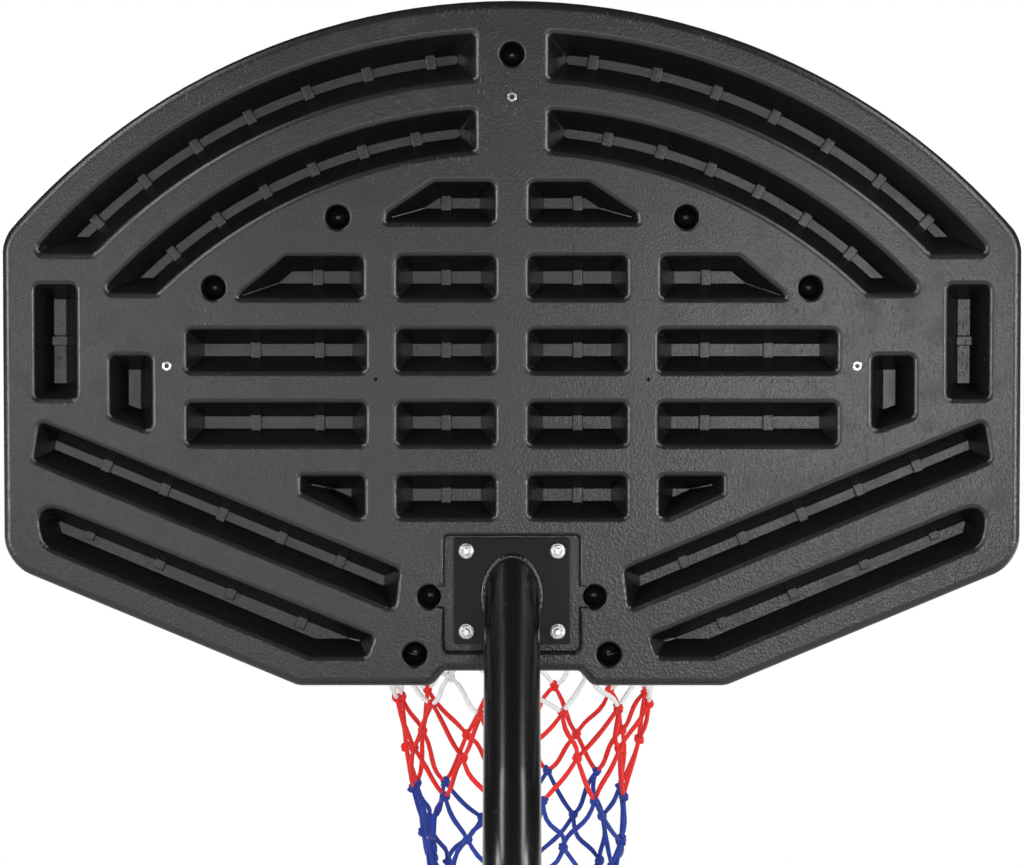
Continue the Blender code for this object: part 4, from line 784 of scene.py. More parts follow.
def wires(runs, radius, fine=3, closed=False):
    """Round wires or cords along lines of points (x, y, z, thickness), as one shape."""
    curve = bpy.data.curves.new("wires", "CURVE")
    curve.dimensions = "3D"
    curve.bevel_depth = radius
    curve.bevel_resolution = fine
    curve.use_fill_caps = not closed
    for points in runs:
        spline = curve.splines.new("POLY")
        spline.points.add(len(points) - 1)
        spline.use_cyclic_u = closed
        for spot, (x, y, z, thick) in zip(spline.points, points):
            spot.co = (x, y, z, 1)
            spot.radius = thick
    guide = bpy.data.objects.new("wires", curve)
    scene.collection.objects.link(guide)
    bpy.context.view_layer.update()
    mesh = bpy.data.meshes.new_from_object(guide.evaluated_get(bpy.context.evaluated_depsgraph_get()))
    bpy.data.objects.remove(guide, do_unlink=True)
    shape = bmesh.new()
    shape.from_mesh(mesh)
    bpy.data.meshes.remove(mesh)
    bmesh.ops.remove_doubles(shape, verts=shape.verts, dist=0.000005)
    return shape


random.seed(4)
bead_line = []
BLOBS = 168
for i in range(BLOBS):
    turn = 2 * pi * i / BLOBS
    x = (POLE_RADIUS + 0.001) * cos(turn)
    z = (POLE_RADIUS / cos(LEAN) + 0.001) * sin(turn)
    ripple = 1 + 0.05 * sin(2 * pi * i / 4.3) + random.uniform(-0.02, 0.02)
    bead_line.append((x, PLATE_BACK_Y + 0.0008, POLE_TOP_Z + z - 0.0006, ripple))
bead = wires([bead_line], 0.0034, 4, closed=True)
cut_back(bead, (0, PLATE_BACK_Y + 0.0002, 0), (0, -1, 0))
fitted("weld_ripples", bead, gloss_coat, "head", "black_steel", "weld_bead", angle=60)

# Backboard
#
# One blow-moulded, double-walled polyethylene board. Tapered pockets run from its back to its front
# wall and stiffen it; their floors are narrow strips with small square blocks. The outline, pockets
# and sockets are drawn as seen from behind, with z out of the back face.
BOARD_BACK_Y = -0.23
BOARD_Z = 2.157
BOARD_THICK = 0.048
BOARD_HALF = 0.55
ARC_RADIUS = 0.72
ARC_STEPS = 48
ABOVE = 0.006
POCKET_DEPTH = 0.04
POCKET_SLOPE = 0.017 / 0.04
STRIP_HALF = 0.0048
MOUTH_ROUND = 0.0048
SOCKET_RADIUS = 0.013
SOFT = 0.007
SHARP = 0.003
TIP_ROUND = 0.008

outline = [(0.073, 0.016, 0.006), (0.087, 0, 0.013), (0.232, 0, 0.025), (BOARD_HALF, 0.1325, 0.045)]
top_turn = atan2(sqrt(ARC_RADIUS**2 - BOARD_HALF**2), BOARD_HALF)
for i in range(ARC_STEPS // 2 + 1):
    turn = top_turn + (pi - 2 * top_turn) * i / ARC_STEPS
    outline.append((ARC_RADIUS * cos(turn), 0.02 + ARC_RADIUS * sin(turn), 0.04 if i == 0 else 0))
outline = both_sides(outline)
board = raised(rounded_face(outline, -BOARD_THICK, 8), BOARD_THICK)
softened(board, edges_at(board, 0), 0.01, 6)
softened(board, edges_at(board, -BOARD_THICK), 0.002, 2)
# Seams divide the large faces through the small holes, so that no face runs right round one.
seams = [((x, 0, 0), (1, 0, 0)) for x in (-0.322, -0.188, -0.097, 0, 0.097, 0.188, 0.322)]
for spot, across in seams + [((0, 0.3325, 0), (0, 1, 0))]:
    bmesh.ops.bisect_plane(board, geom=everything(board), plane_co=spot, plane_no=across, dist=0.0001)


def leaning_cut(shape, spot, outward, slope):
    """Cut along a wall that leans inwards on its way down."""
    cut_back(shape, spot, (outward - Vector((0, 0, slope))).normalized())


def pocket(corners):
    """A tapered pocket's inside: a block cut by one leaning plane for each side of its mouth."""
    corners = [(*corner, SOFT)[:3] for corner in corners]
    mouth = rounded_face(corners, 0, 5)
    face = mouth.faces[:][0]
    face.normal_update()
    turning = 1 if face.normal.z > 0 else -1
    xs, ys, _ = zip(*corners)
    shape = block((min(xs) - 0.03, min(ys) - 0.03, -POCKET_DEPTH), (max(xs) + 0.03, max(ys) + 0.03, ABOVE))
    for loop in face.loops:
        along = (loop.link_loop_next.vert.co - loop.vert.co) * turning
        if along.length > 0.0001:
            leaning_cut(shape, loop.vert.co, Vector((along.y, -along.x, 0)).normalized(), POCKET_SLOPE)
    mouth.free()
    return shape


def arc_pocket(centre, inner, outer, low):
    """A curved pocket: its section is spun round the board's arc, and both ends are cut leaning."""
    middle = (inner + outer) / 2
    half = (outer - inner) / 2
    slope = (half - STRIP_HALF) / POCKET_DEPTH
    shape = bmesh.new()
    section = [(middle - half - ABOVE * slope, ABOVE), (middle - STRIP_HALF, -POCKET_DEPTH),
               (middle + STRIP_HALF, -POCKET_DEPTH), (middle + half + ABOVE * slope, ABOVE)]
    shape.faces.new([shape.verts.new((0, centre + radius, z)) for radius, z in section])
    bmesh.ops.spin(
        shape, geom=everything(shape), cent=(0, centre, 0), axis=(0, 0, 1), angle=-radians(62), steps=40,
        use_merge=False, use_duplicate=False,
    )
    bmesh.ops.recalc_face_normals(shape, faces=shape.faces)
    leaning_cut(shape, (0.0385, 0, 0), Vector((-1, 0, 0)), slope)
    leaning_cut(shape, (0, low, 0), Vector((0, -1, 0)), slope)
    tip_y = low + TIP_ROUND
    tip_x = sqrt((outer - TIP_ROUND) ** 2 - (tip_y - centre) ** 2)
    last = atan2(tip_y - centre, tip_x)
    for i in range(1, 8):
        turn = -pi / 2 + (last + pi / 2) * i / 8
        outward = Vector((cos(turn), sin(turn), 0))
        leaning_cut(shape, Vector((tip_x, tip_y, 0)) + outward * TIP_ROUND, outward, slope)
    bmesh.ops.recalc_face_normals(shape, faces=shape.faces)
    end_edges = [
        edge for edge in shape.edges
        if span(edge)[2] > 0.0005 and all(vert.co.x < 0.07 for vert in edge.verts)
        and edge.calc_face_angle(0) > 0.8
    ]
    return softened(shape, end_edges, 0.0042, 5)


ROWS_TOP = 0.4662
ROWS_LOW = 0.182
POCKET_SHARE = 0.595
PITCHES_HIGH = 3.595
PITCH = (ROWS_TOP - ROWS_LOW) / PITCHES_HIGH
rows = [(ROWS_TOP - PITCH * row - PITCH * POCKET_SHARE, ROWS_TOP - PITCH * row) for row in range(4)]
upper_low, upper_high = rows[0]
under_low, under_high = rows[3]
upper = [(0.16, upper_low), (0.298, upper_low, SHARP), (0.292, upper_low + 0.008, SHARP), (0.245, upper_high),
         (0.16, upper_high)]
under = [(0.1585, under_low), (0.1705, under_low), (0.229, under_high - 0.02, SHARP),
         (0.229, under_high, SHARP), (0.1585, under_high)]
crown = [(0.018, 0.5007), (0.137, 0.5007, SHARP), (0.135, 0.512, SHARP), (0.0845, 0.5457), (0.018, 0.5457)]
lowest = [(0.157, 0.031), (0.219, 0.031), (0.507, 0.152, 0.018), (0.519, 0.205, 0.018), (0.148, 0.0545)]
drawn = [[(left, low), (right, low), (right, high), (left, high)] for left, right, level_rows in (
    (0.017, 0.125, rows), (0.157, 0.352, rows[1:3])) for low, high in level_rows]
drawn += [
    upper, under, crown,
    [(0.469, 0.3106), (0.516, 0.3106), (0.516, 0.4357), (0.469, 0.4357)],
    [(0.388, 0.282), (0.395, 0.277), (0.435, 0.292), (0.435, 0.359), (0.388, 0.359)],
    [(0.126, 0.0815), (0.518, 0.2447), (0.511, 0.2887), (0.121, 0.1275)],
    lowest,
]
ARCS = ((0.023, 0.633, 0.684, 0.466), (0.027, 0.552, 0.598, 0.424))
board_cuts = []
for side in SIDES.values():
    for shape in [pocket(corners) for corners in drawn] + [arc_pocket(*arc) for arc in ARCS]:
        if side < 0:
            shape.transform(Matrix.Diagonal((-1, 1, 1, 1)))
            bmesh.ops.reverse_faces(shape, faces=shape.faces)
        board_cuts.append(shape)
sockets = [(0, 0.682), (0.188, 0.507), (0.322, 0.431), (0.089, 0.097), (0.105, 0.0345)]
sockets += [(-x, y) for x, y in sockets if x]
for x, y in sockets:
    hole = spun([
        (0, -0.03), (0.0045, -0.029), (0.008, -0.0262), (0.0104, -0.0215), (0.0116, -0.015),
        (SOCKET_RADIUS, -0.004), (SOCKET_RADIUS, ABOVE), (0, ABOVE),
    ], 40)
    board_cuts.append(moved(hole, Matrix.Translation((x, y, 0))))
pins = [(-0.147, 0.3328), (0.147, 0.3328)]
board_cuts += [round_bar((x, y, -0.014), (x, y, ABOVE), 0.0019, 12) for x, y in pins]
recess = both_sides([(0.073, 0.038, 0.005), (0.073, 0.163, 0.005)])
board_cuts.append(raised(rounded_face(recess, -0.0103, 5), 0.0163))
board_cuts.append(block((-0.089, 0.086, -0.0093), (0.089, 0.108, ABOVE)))
board = carved(board, board_cuts)
bmesh.ops.remove_doubles(board, verts=board.verts, dist=0.00002)


def mouth_edges(shape, kind):
    """Edges between the flat back face and a wall that goes down from it, of one kind of hole."""
    shape.normal_update()
    found = []
    for edge in edges_at(shape, 0):
        walls = [face for face in edge.link_faces if abs(face.normal.z) < 0.8]
        middle = ((edge.verts[0].co + edge.verts[1].co) / 2).xy
        hole = "pocket"
        for name, centres, reach in (("socket", sockets, SOCKET_RADIUS + 0.001), ("pin", pins, 0.003)):
            if any((middle - Vector(centre)).length < reach for centre in centres):
                hole = name
        if len(walls) == 1 and hole == kind and edge.calc_length() > 0.00001:
            found.append(edge)
    return found


for kind, radius, steps in (("pocket", MOUTH_ROUND, 4), ("socket", 0.0028, 4), ("pin", 0.0005, 2)):
    softened(board, mouth_edges(board, kind), radius, steps)

middles = [(low + high) / 2 for low, high in rows]
blocks = [(0.0715, y, 0) for y in middles] + [(x, y, 0) for y in middles[1:3] for x in (0.2095, 0.279)]
blocks += [(0.211, middles[0], 0), (0.0715, 0.5232, 0), (0.4925, 0.374, 90)]
for turn, places in ((22.5, ((0.441, 0.239), (0.378, 0.213), (0.316, 0.185), (0.251, 0.16), (0.187, 0.134))),
                     (23, ((0.459, 0.165), (0.383, 0.133), (0.306, 0.1), (0.229, 0.068)))):
    blocks += [(x, y, turn) for x, y in places]
for centre, radius, xs in ((0.023, 0.6585, (0.088, 0.157, 0.222, 0.285, 0.343, 0.399, 0.451)),
                           (0.027, 0.575, (0.104, 0.162, 0.216, 0.268, 0.319, 0.368))):
    rises = [sqrt(radius**2 - x**2) for x in xs]
    blocks += [(x, centre + rise, -atan2(x, rise) * 180 / pi) for x, rise in zip(xs, rises)]
STUD_TOP = 0.0052 - POCKET_DEPTH
stud = block((-0.0055, -0.0088, -POCKET_DEPTH - 0.001), (0.0055, 0.0088, STUD_TOP))
softened(stud, edges_at(stud, STUD_TOP), 0.0014, 3)
studs = repeated(stud, [
    Matrix.Translation((side * x, y, 0)) @ Matrix.Rotation(radians(side * turn), 4, "Z")
    for x, y, turn in blocks for side in SIDES.values()
])

crease_steps = [(0.006 + (POCKET_DEPTH - 0.006) * i / 8, 0.5 + 0.5 * i / 8) for i in range(9)]


def crease(corners, *walls):
    """The rounded crease where two walls meet at a pocket's tip; a wall is its first corner's place."""
    line = []
    for depth, thick in crease_steps:
        spots, ways = [], []
        for i in walls:
            start, end = Vector(corners[i][:2]), Vector(corners[i + 1][:2])
            ways.append((end - start).normalized())
            spots.append(start + Vector((-ways[-1].y, ways[-1].x)) * POCKET_SLOPE * depth)
        spot = spots[0] + ways[0] * ((spots[1] - spots[0]).cross(ways[1]) / ways[0].cross(ways[1]))
        line.append((*spot, -depth, thick))
    return line


def arc_crease(centre, _, outer, low):
    line = []
    for depth, thick in crease_steps:
        y = low + POCKET_SLOPE * depth
        line.append((sqrt((outer - POCKET_SLOPE * depth) ** 2 - (y - centre) ** 2), y, -depth, thick))
    return line


creases = [crease(crown, 0, 2), crease(upper, 0, 2), crease(under, 1, 3), crease(lowest, 0, 3)]
creases += [arc_crease(*arc) for arc in ARCS]
creases += [[(-x, y, z, thick) for x, y, z, thick in line] for line in creases]

board_plastic, tree, shader, place = plain_material("board_plastic", 0.33)
height = split(tree, place)["Z"]
grain = add(tree, "Group", {
    "Place": place, "Pebbles": 330.0, "Pebble": ranged(tree, height, 2.52, 2.3, 0.35, 1.2),
    "Ticks": ranged(tree, height, 2.3, 2.5, 0.25, 0.9),
}, node_tree=mould_grain).outputs
faces_back = split(tree, add(tree, "TexCoord").outputs["Normal"])["Y"]
inside = ranged(tree, split(tree, place)["Y"], BOARD_BACK_Y - 0.0005, BOARD_BACK_Y - 0.006)
wall = sums(tree, ranged(tree, faces_back, 0.9, 0.55), ("MULTIPLY", inside))
worn = ranged(tree, grain["Dust"], 0, 1, 0.31, 0.42)
stretched_skin = add(tree, "Mix", {0: wall, 2: worn, 3: 0.17}).outputs[0]
tone = blended(tree, grain["Tone"], (0.003, 0.003, 0.0033, 1), (0.008, 0.008, 0.0084, 1))
surfaced(tree, shader, tone, stretched_skin, grain["Height"], 1.0, 0.00024)
# Painted shade: deeper in the pockets the walls' specular level falls from 0.5 to 0.28, which darkens them as
# shade would.
tree.links.new(ranged(tree, wall, 0, 1, 0.5, 0.28), shader["Specular IOR Level"])
BOARD_PLACE = Matrix.Translation((0, BOARD_BACK_Y, BOARD_Z)) @ TO_BACK
board = moved(together(board, studs, wires(creases, 0.0016)), BOARD_PLACE)
fitted("board_moulding", board, board_plastic, "head", "black_plastic", "backboard", angle=40)

# Front panel and its screws
#
# A thin white polypropylene sheet lies on the board's front, held by three screws with nuts on the
# back. It carries a plain border line and the usual rectangle above the rim.
PANEL_FRONT = -0.0513
PANEL_THICK = 0.003
PANEL_EDGE = 0.022
LINE_OUTSIDE = 0.036
LINE_INSIDE = 0.047
FRAME_HALF_WIDTH = 0.215
FRAME_HALF_HEIGHT = 0.165
FRAME_Z = 2.462
panel_line = [corner for corner in outline if corner[1] > 0.02 or abs(corner[0]) > 0.2]


def inset_loop(corners, amount):
    """The rounded outline moved inwards, as points in order that start at its top."""
    moved_in = []
    for before, here, after in zip(corners[-1:] + corners[:-1], corners, corners[1:] + corners[:1]):
        first = Vector((here[0] - before[0], here[1] - before[1])).normalized()
        last = Vector((after[0] - here[0], after[1] - here[1])).normalized()
        inward = Vector((-first.y - last.y, first.x + last.x)) * amount / (1 + first.dot(last))
        radius = max(here[2] - amount, 0.004) if here[2] else 0
        moved_in.append((here[0] + inward.x, here[1] + inward.y, radius))
    shape = rounded_face(moved_in, 0, 6)
    face = shape.faces[:][0]
    face.normal_update()
    points = [vert.co.copy() for vert in face.verts]
    if face.normal.z < 0:
        points.reverse()
    shape.free()
    top = max(range(len(points)), key=lambda i: points[i].y)
    return points[top:] + points[:top]


def ring_edges(shape, amount):
    """A closed ring of edges: the sheet's outline moved inwards."""
    spots = [shape.verts.new((p.x, p.y, PANEL_FRONT)) for p in inset_loop(panel_line, amount)]
    return [shape.edges.new(pair) for pair in zip(spots, spots[1:] + spots[:1])]


panel = bmesh.new()
bmesh.ops.edgeloop_fill(panel, edges=ring_edges(panel, LINE_INSIDE))
for index, (outside, inside) in enumerate(((PANEL_EDGE, LINE_OUTSIDE), (LINE_OUTSIDE, LINE_INSIDE))):
    band = bmesh.new()
    rings = ring_edges(band, outside) + ring_edges(band, inside)
    for face in bmesh.ops.bridge_loops(band, edges=rings)["faces"]:
        face.material_index = index
    panel = together(panel, band)
bmesh.ops.remove_doubles(panel, verts=panel.verts, dist=0.000001)
bmesh.ops.recalc_face_normals(panel, faces=panel.faces)
bmesh.ops.solidify(panel, geom=panel.faces[:], thickness=PANEL_THICK)
lowest_z = min(vert.co.z for vert in panel.verts)
bmesh.ops.translate(panel, verts=panel.verts, vec=(0, 0, PANEL_FRONT - lowest_z))
bmesh.ops.recalc_face_normals(panel, faces=panel.faces)
softened(panel, [edge for edge in edges_at(panel, PANEL_FRONT) if edge.calc_face_angle(0) > 1.0], 0.0008, 2)


def printed_sheet(name, sheet_colour, print_colour, framed):
    """Smooth polypropylene with a faint haze; a painted rectangle above the rim where framed."""
    made, tree, shader, place = plain_material(name, 0.34)
    hazed = [0.93 * part for part in sheet_colour[:3]] + [1]
    colour = blended(tree, noise(tree, place, 7.0, 6.0), sheet_colour, hazed)
    if framed:
        axes = split(tree, place)
        beside = sums(tree, axes["X"], ("ABSOLUTE", 0.0), ("SUBTRACT", FRAME_HALF_WIDTH))
        above = sums(tree, axes["Z"], ("SUBTRACT", FRAME_Z), ("ABSOLUTE", 0.0))
        above = sums(tree, above, ("SUBTRACT", FRAME_HALF_HEIGHT))
        beyond = sums(tree, beside, ("MAXIMUM", above))
        outer = ranged(tree, beyond, 0.0005, -0.0005)
        painted = sums(tree, outer, ("MULTIPLY", ranged(tree, beyond, -0.0185, -0.0175)))
        colour = blended(tree, painted, colour, print_colour)
    scuffs = noise(tree, place, 60.0, 5.0)
    surfaced(tree, shader, colour, ranged(tree, scuffs, 0.4, 0.7, 0.3, 0.42), scuffs, 0.5, 0.00008)
    return made


INK = (0.03, 0.03, 0.034, 1)
white_sheet = printed_sheet("white_sheet", (0.74, 0.74, 0.74, 1), INK, True)
sheet = fitted("panel_sheet", moved(panel, BOARD_PLACE), white_sheet, "head", "panel_white", "front_panel")
sheet.data.materials.append(printed_sheet("border_print", INK, INK, False))


def numbered(name, count):
    return [f"{name}_{i}" for i in range(1, count + 1)]


pan_head = spun([
    (0, -0.0538), (0.002, -0.0537), (0.0034, -0.0532), (0.0042, -0.0525), (0.0045, -0.0517),
    (0.0044, -0.05162), (0, -0.05162),
], 24)
slots = [block((-x, -y, -0.9), (x, y, -0.0529)) for x, y in ((0.0022, 0.0005), (0.0005, 0.0022))]
screw = together(carved(pan_head, slots), threaded(0.0025, -0.0517, -0.001, 0.0008))
bore = round_bar((0, 0, -0.002), (0, 0, 0.006), 0.0026)
small_nut = carved(hexagon(0.0055, 0.0003, 0.004, 0.0006), [bore])
screw_places = ((0, 0.636), (0.372, 0.347), (-0.372, 0.347))
spots = [BOARD_PLACE @ Matrix.Translation((x, y, 0)) for x, y in screw_places]
# Painted shade: a darker copy of the zinc plate, for the nuts and washers on the board's back that face the
# lamps.
shaded_zinc = plated_steel("shaded_zinc", (0.26, 0.26, 0.27, 1), (0.58, 0.58, 0.59, 1), 0.26)
fitted("panel_screws", repeated(screw, spots), zinc, "head", "zinc", *numbered("panel_screw", 3))
fitted("panel_nuts", repeated(small_nut, spots), shaded_zinc, "head", "zinc", *numbered("panel_nut", 3))

# Mounting bolts
#
# Four zinc plated bolts with domed heads run from the rim's plate through panel, board and pole
# plate; their washers and nuts sit on the pole plate.
MOUNT_X = 0.0496
MOUNT_Y = 0.103
MOUNT_RISE = 0.04365
dome = spun([
    (0, -0.0617), (0.003, -0.0614), (0.0055, -0.0603), (0.0073, -0.0587), (0.0083, -0.0573),
    (0.0084, -0.0569), (0, -0.0569),
], 32)
bolt = together(dome, threaded(BOLT, -0.057, 0.0067))
washer = spun([
    (0.0045, -0.0047), (0.008, -0.0047), (0.0084, -0.0044), (0.0084, -0.0036), (0.008, -0.0032),
    (0.0048, -0.0032), (0.0045, -0.0035), (0.0045, -0.0047),
], 40)
nut = hexagon(BOLT_HEAD, -0.0028, 0.0037, 0.001)
spots = [
    BOARD_PLACE @ Matrix.Translation((x, y, 0))
    for x in (-MOUNT_X, MOUNT_X) for y in (MOUNT_Y - MOUNT_RISE, MOUNT_Y + MOUNT_RISE)
]
turned_spots = [spot @ Matrix.Rotation(random.uniform(0, pi / 3), 4, "Z") for spot in spots]
fitted("mount_bolts", repeated(bolt, spots), zinc, "head", "zinc", *numbered("mount_bolt", 4))
fitted("mount_washers", repeated(washer, spots), shaded_zinc, "head", "zinc", *numbered("mount_washer", 4))
fitted("mount_nuts", repeated(nut, turned_spots), shaded_zinc, "head", "zinc", *numbered("mount_nut", 4))

# Rim
#
# A ring bent from 16 mm steel rod with twelve wire hooks welded under it, carried by a folded steel
# arm and two braces on a back plate. All of it is powder-coated orange.
RING_Y = -0.6609
RING_Z = 2.282
RING_RADIUS = 0.2366
ROD = 0.008
ARM_TOP = 2.2737
ARM_HALF = 0.037
ARM_SHEET = 0.0035
PLATE_FRONT_Y = -0.2866
RIM_PLACE = Matrix.Translation((0, RING_Y, RING_Z))
orange_coat = coated_steel("orange_coat", (0.5, 0.06, 0.01, 1), (0.66, 0.1, 0.018, 1), 0.3, 460.0, 0.0001)
rim_plate = raised(rounded_face(plate_corners, 0, 4), 0.005)
softened(rim_plate, edges_at(rim_plate, 0), 0.0008, 2)
moved(rim_plate, Matrix.Translation((0, PLATE_FRONT_Y, PLATE_Z)) @ TO_BACK)
fitted("rim_plate_steel", rim_plate, orange_coat, "head", "orange_steel", "rim_plate")

arm = bmesh.new()
tip = RING_Y + RING_RADIUS - ROD - 0.002
back = PLATE_FRONT_Y - 0.0003
arm_side = [(tip, ARM_TOP), (tip, ARM_TOP - 0.012), (back, ARM_TOP - 0.056), (back, ARM_TOP)]
arm.faces.new([arm.verts.new((-ARM_HALF, y, z)) for y, z in arm_side])
grown = bmesh.ops.extrude_face_region(arm, geom=arm.faces[:])["geom"]
bmesh.ops.translate(arm, verts=only(bmesh.types.BMVert, grown), vec=(2 * ARM_HALF, 0, 0))
bmesh.ops.recalc_face_normals(arm, faces=arm.faces)
gap_half = ARM_HALF - ARM_SHEET
gap_top = ARM_TOP - ARM_SHEET
gap = block((-gap_half, tip - 0.02, ARM_TOP - 0.08), (gap_half, back + 0.02, gap_top))
for shape, z, radius, steps in ((arm, ARM_TOP, 0.004, 4), (gap, gap_top, 0.0015, 3)):
    softened(shape, [edge for edge in edges_at(shape, z) if span(edge)[1] > 0.05], radius, steps)
fitted("arm_folded", carved(arm, [gap]), orange_coat, "head", "orange_steel", "rim_arm")


def eased(corners, cut, steps=6):
    """A line through corners that rounds each inner corner."""
    corners = [Vector(corner) for corner in corners]
    line = [corners[0]]
    for before, here, after in zip(corners, corners[1:], corners[2:]):
        first = here + (before - here).normalized() * cut
        last = here + (after - here).normalized() * cut
        for i in range(steps + 1):
            share = i / steps
            line.append(first.lerp(here, share).lerp(here.lerp(last, share), share))
    return line + [corners[-1]]


under_ring = RING_Z - ROD - 0.005 - 0.0003
for name, side in SIDES.items():
    bends = [(side * 0.054, back, 2.242), (side * 0.054, back - 0.014, 2.242)]
    for reach in (RING_RADIUS + 0.02, RING_RADIUS - 0.004):
        bends.append((side * reach * 0.5, RING_Y + reach * sqrt(0.75), under_ring))
    brace = wires([[(*spot, 1) for spot in eased(bends, 0.006)]], 0.005, 5)
    fitted(f"brace_rod_{name}", brace, orange_coat, "head", "orange_steel", f"rim_brace_{name}", angle=50)

ring = bmesh.new()
section = Matrix.Translation((RING_RADIUS, 0, 0)) @ Matrix.Rotation(pi / 2, 4, "X")
bmesh.ops.create_circle(ring, segments=24, radius=ROD, matrix=section)
turned(ring, 120)
hook_line = [Vector((0, 0, -0.007)), Vector((0, 0, -0.018))]
for i in range(1, 9):
    bend = pi * i / 8
    hook_line.append(Vector((0, 0.008 - 0.008 * cos(bend), -0.018 - 0.008 * sin(bend))))
hook_line.append(Vector((0, 0.016, -0.0142)))
hook_turns = [2 * pi * (i + 0.5) / 12 for i in range(12)]
hooks, welds = [], bmesh.new()
for turn in hook_turns:
    spot = Matrix.Rotation(-turn, 4, "Z") @ Matrix.Translation((0, RING_RADIUS, 0))
    hooks.append([(*(spot @ point), 1) for point in hook_line])
    for along in (-0.002, 0.0006, 0.0024):
        blob = spot @ Matrix.Translation((along, 0, -0.0084)) @ Matrix.Diagonal((1, 1.1, 0.7, 1))
        bmesh.ops.create_icosphere(welds, subdivisions=2, radius=0.0028, matrix=blob)
ring = moved(together(ring, wires(hooks, 0.002), welds), RIM_PLACE)
fitted("ring_with_hooks", ring, orange_coat, "head", "orange_steel", "rim_ring", angle=60)

# Net
#
# Twelve columns of soft braided polyester cord, knotted by hand into meshes that narrow below the
# ring: white from the hooks to the fourth row of knots, then red, then blue. The cords are slack,
# and their lower ends bunch together.
COLUMNS = 12
NET_ROWS = 10
CORD = 0.0029
SEAT_REACH = 0.2446
SEAT_Z = -0.0199
COLOURS = ["white"] * 4 + ["red"] * 2 + ["blue"] * (NET_ROWS - 5)
random.seed(11)
knot_spots = []
for row in range(NET_ROWS + 1):
    spots = []
    for i in range(COLUMNS):
        turn = 2 * pi * (i + (row % 2) / 2 + 0.5) / COLUMNS
        reach = 0.119 + 0.1176 * max(0.0, 1 - row / 9) ** 2
        z = -0.005 - 0.046 * min(row, 4) - 0.0555 * min(max(row - 4, 0), 2) - 0.05125 * max(row - 6, 0)
        if row:
            turn += random.uniform(-0.045, 0.045) * min(row, 6) / 3
            reach += random.uniform(-0.006, 0.003) * min(row, 5) / 5
            z += random.uniform(-0.008, 0.008) * min(row, 5) / 5
        if row >= 7:
            turn += 0.085 * (row - 6) * (1 if i % 2 else -1) * (-1) ** (row // 2)
        lean_over = -0.012 * min(1.0, row / 4)
        spots.append(Vector((reach * sin(turn) + lean_over, reach * cos(turn), z)))
    knot_spots.append(spots)


def slack_cord(start, end, slack, out):
    """Points of one cord between two knots: it sags a little and is drawn thin by the knots."""
    line = []
    side = random.uniform(-1, 1) * slack
    for i in range(9):
        share = i / 8
        swell = sin(pi * share)
        spot = start.lerp(end, share) - UP * (slack * 0.6 * swell) + out * side * swell * 0.8
        spot += (end - start).cross(out).normalized() * side * 0.7 * sin(2 * pi * share)
        line.append((*spot, 0.84 + 0.2 * swell + random.uniform(-0.05, 0.05)))
    return line


def knot_turns(spot, size, lie):
    """The wound cord of one knot: a short coil round the cords that meet there, crossed once."""
    turns = 1.7 + random.uniform(-0.15, 0.25)
    tip = Matrix.Rotation(random.uniform(-0.45, 0.45), 3, "X")
    tip = tip @ Matrix.Rotation(random.uniform(-0.5, 0.5), 3, "Y")
    coil, cross = [], []
    for i in range(17):
        turn = 2 * pi * turns * i / 16 + lie
        point = Vector((size * cos(turn), size * sin(turn), (i / 16 - 0.5) * size * 2.3))
        coil.append((*(spot + tip @ point), 0.92 + random.uniform(-0.05, 0.08)))
    for i in range(9):
        turn = pi * 1.25 * i / 8 + lie
        point = Vector((size * 1.15 * cos(turn), size * 0.5 * sin(turn), size * 1.25 * sin(turn)))
        cross.append((*(spot + tip @ point), 0.85))
    return [coil, cross]


hook_seats = [Vector((SEAT_REACH * sin(turn), SEAT_REACH * cos(turn), SEAT_Z)) for turn in hook_turns]
cords = {"white": [], "red": [], "blue": []}
for row in range(NET_ROWS):
    slack = 0.002 if row < 2 else 0.006 if row < 6 else 0.008
    for i in range(COLUMNS):
        start = knot_spots[row][i]
        for shift in (0, 1):
            end = knot_spots[row + 1][(i - (row + 1) % 2 + shift) % COLUMNS]
            out = Vector((end.x, end.y, 0)).normalized()
            if row == 0:
                start = hook_seats[i] - (end - hook_seats[i]).cross(UP).cross(UP).normalized() * 0.002
            cords[COLOURS[row]].append(slack_cord(start, end, slack, out))
for turn, seat in zip(hook_turns, hook_seats):
    along = Vector((cos(turn), -sin(turn), 0)) * 0.0032
    bends = [pi * i / 6 for i in range(7)]
    arch = [seat - along * cos(bend) + UP * 0.0022 * (sin(bend) - 1) for bend in bends]
    cords["white"].append([(*spot, 0.9) for spot in arch])
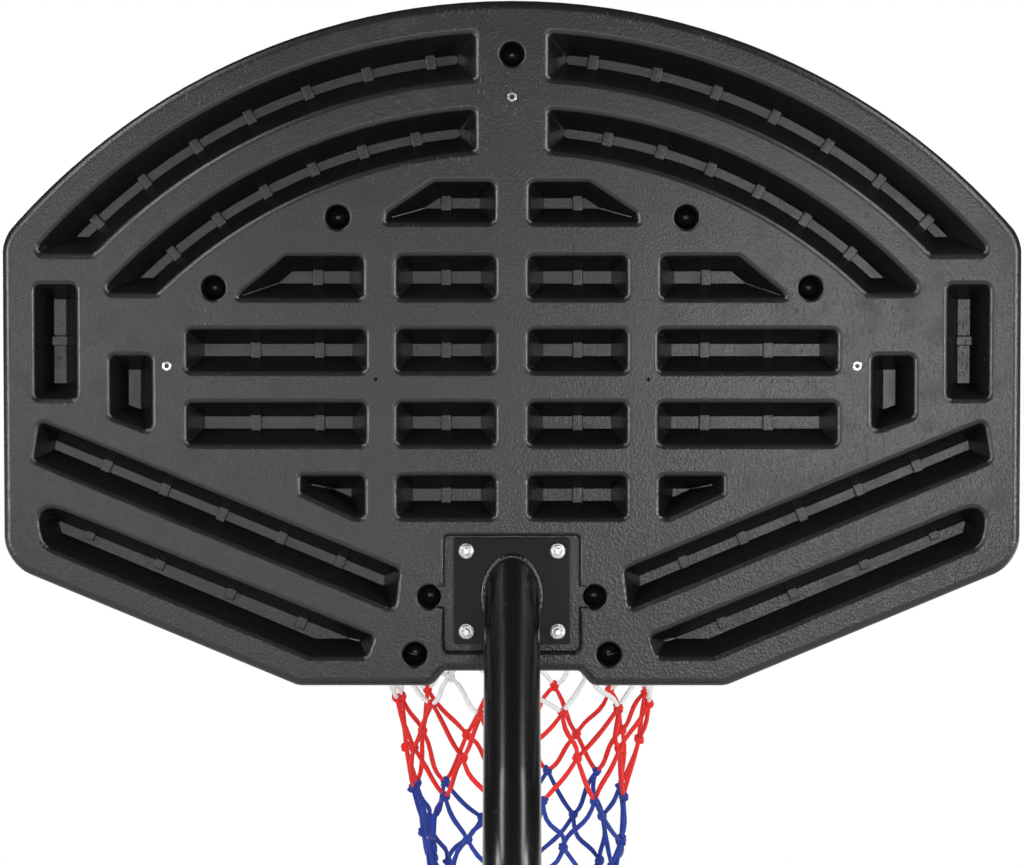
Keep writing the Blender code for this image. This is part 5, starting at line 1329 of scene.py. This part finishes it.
for row in range(1, NET_ROWS + 1):
    for spot in knot_spots[row]:
        cords[COLOURS[row]] += knot_turns(spot, 0.0033, random.uniform(0, 2 * pi))
        for way in (-1, 1) if row == NET_ROWS else ():
            x = way * 0.004 + random.uniform(-0.002, 0.002)
            tail = Vector((x, random.uniform(-0.004, 0.004), -0.019))
            shares = (0, 0.35, 0.7, 1)
            cords["blue"].append([(*(spot + tail * share), 0.9 - 0.15 * share) for share in shares])

# Painted shade: the braid's colour is darker where the plaits dip, as shade falls in the grooves between
# them.
braid, given, result = node_group("braid", {"Place": None, "Plaits": 9.0}, ("Height", "Groove Shade"))
axes = split(braid, given["Place"])
along = sums(braid, axes["X"], ("MULTIPLY", given["Plaits"]))
around = sums(braid, axes["Y"], ("MULTIPLY", 3.0))
one, other = [
    sums(braid, along, (way, around), ("MULTIPLY", 2 * pi), ("SINE", 0.0)) for way in ("ADD", "SUBTRACT")
]
strands = sums(braid, one, ("MULTIPLY", other), ("MULTIPLY", 0.5), ("ADD", 0.5))
braid.links.new(strands, result["Height"])
braid.links.new(sums(braid, strands, ("MULTIPLY", 0.35), ("ADD", 0.55)), result["Groove Shade"])


def braided_cord(name, dark, light):
    """Soft braided polyester: plaits along the cord's own UV map, fuzz, a clouded dye and painted shade in
    the grooves between the plaits.
    """
    made, tree, shader, place = plain_material(name, 0.82, specular=0.25)
    along_cord = add(tree, "TexCoord").outputs["UV"]
    plait = add(tree, "Group", {"Place": along_cord}, node_tree=braid).outputs
    # The cord's colour: a clouded dye, and painted shade in the grooves between the plaits.
    dye_and_groove_shade = sums(
        tree, noise(tree, place, 45.0, 4.0), ("MULTIPLY", 0.5), ("ADD", plait["Groove Shade"]), ("MULTIPLY", 0.75)
    )
    fuzz = noise(tree, place, 1400.0, 2.0)
    height = sums(tree, fuzz, ("MULTIPLY", 0.5), ("ADD", plait["Height"]))
    rough = ranged(tree, fuzz, 0, 1, 0.74, 0.92)
    surfaced(tree, shader, blended(tree, dye_and_groove_shade, dark, light), rough, height, 0.8, 0.0005)
    shader["Sheen Weight"].default_value = 0.25
    shader["Sheen Roughness"].default_value = 0.4
    return made


for colour, dark, light, replaced in (
    ("white", (0.58, 0.58, 0.6, 1), (0.8, 0.8, 0.8, 1), ["net"]),
    ("red", (0.45, 0.01, 0.01, 1), (0.75, 0.026, 0.022, 1), []),
    ("blue", (0.008, 0.02, 0.15, 1), (0.018, 0.042, 0.3, 1), []),
):
    cord = moved(wires(cords[colour], CORD), RIM_PLACE)
    dyed = braided_cord(f"{colour}_cord", dark, light)
    fitted(f"net_{colour}_cords", cord, dyed, "head", "net_cord", *replaced, angle=80)
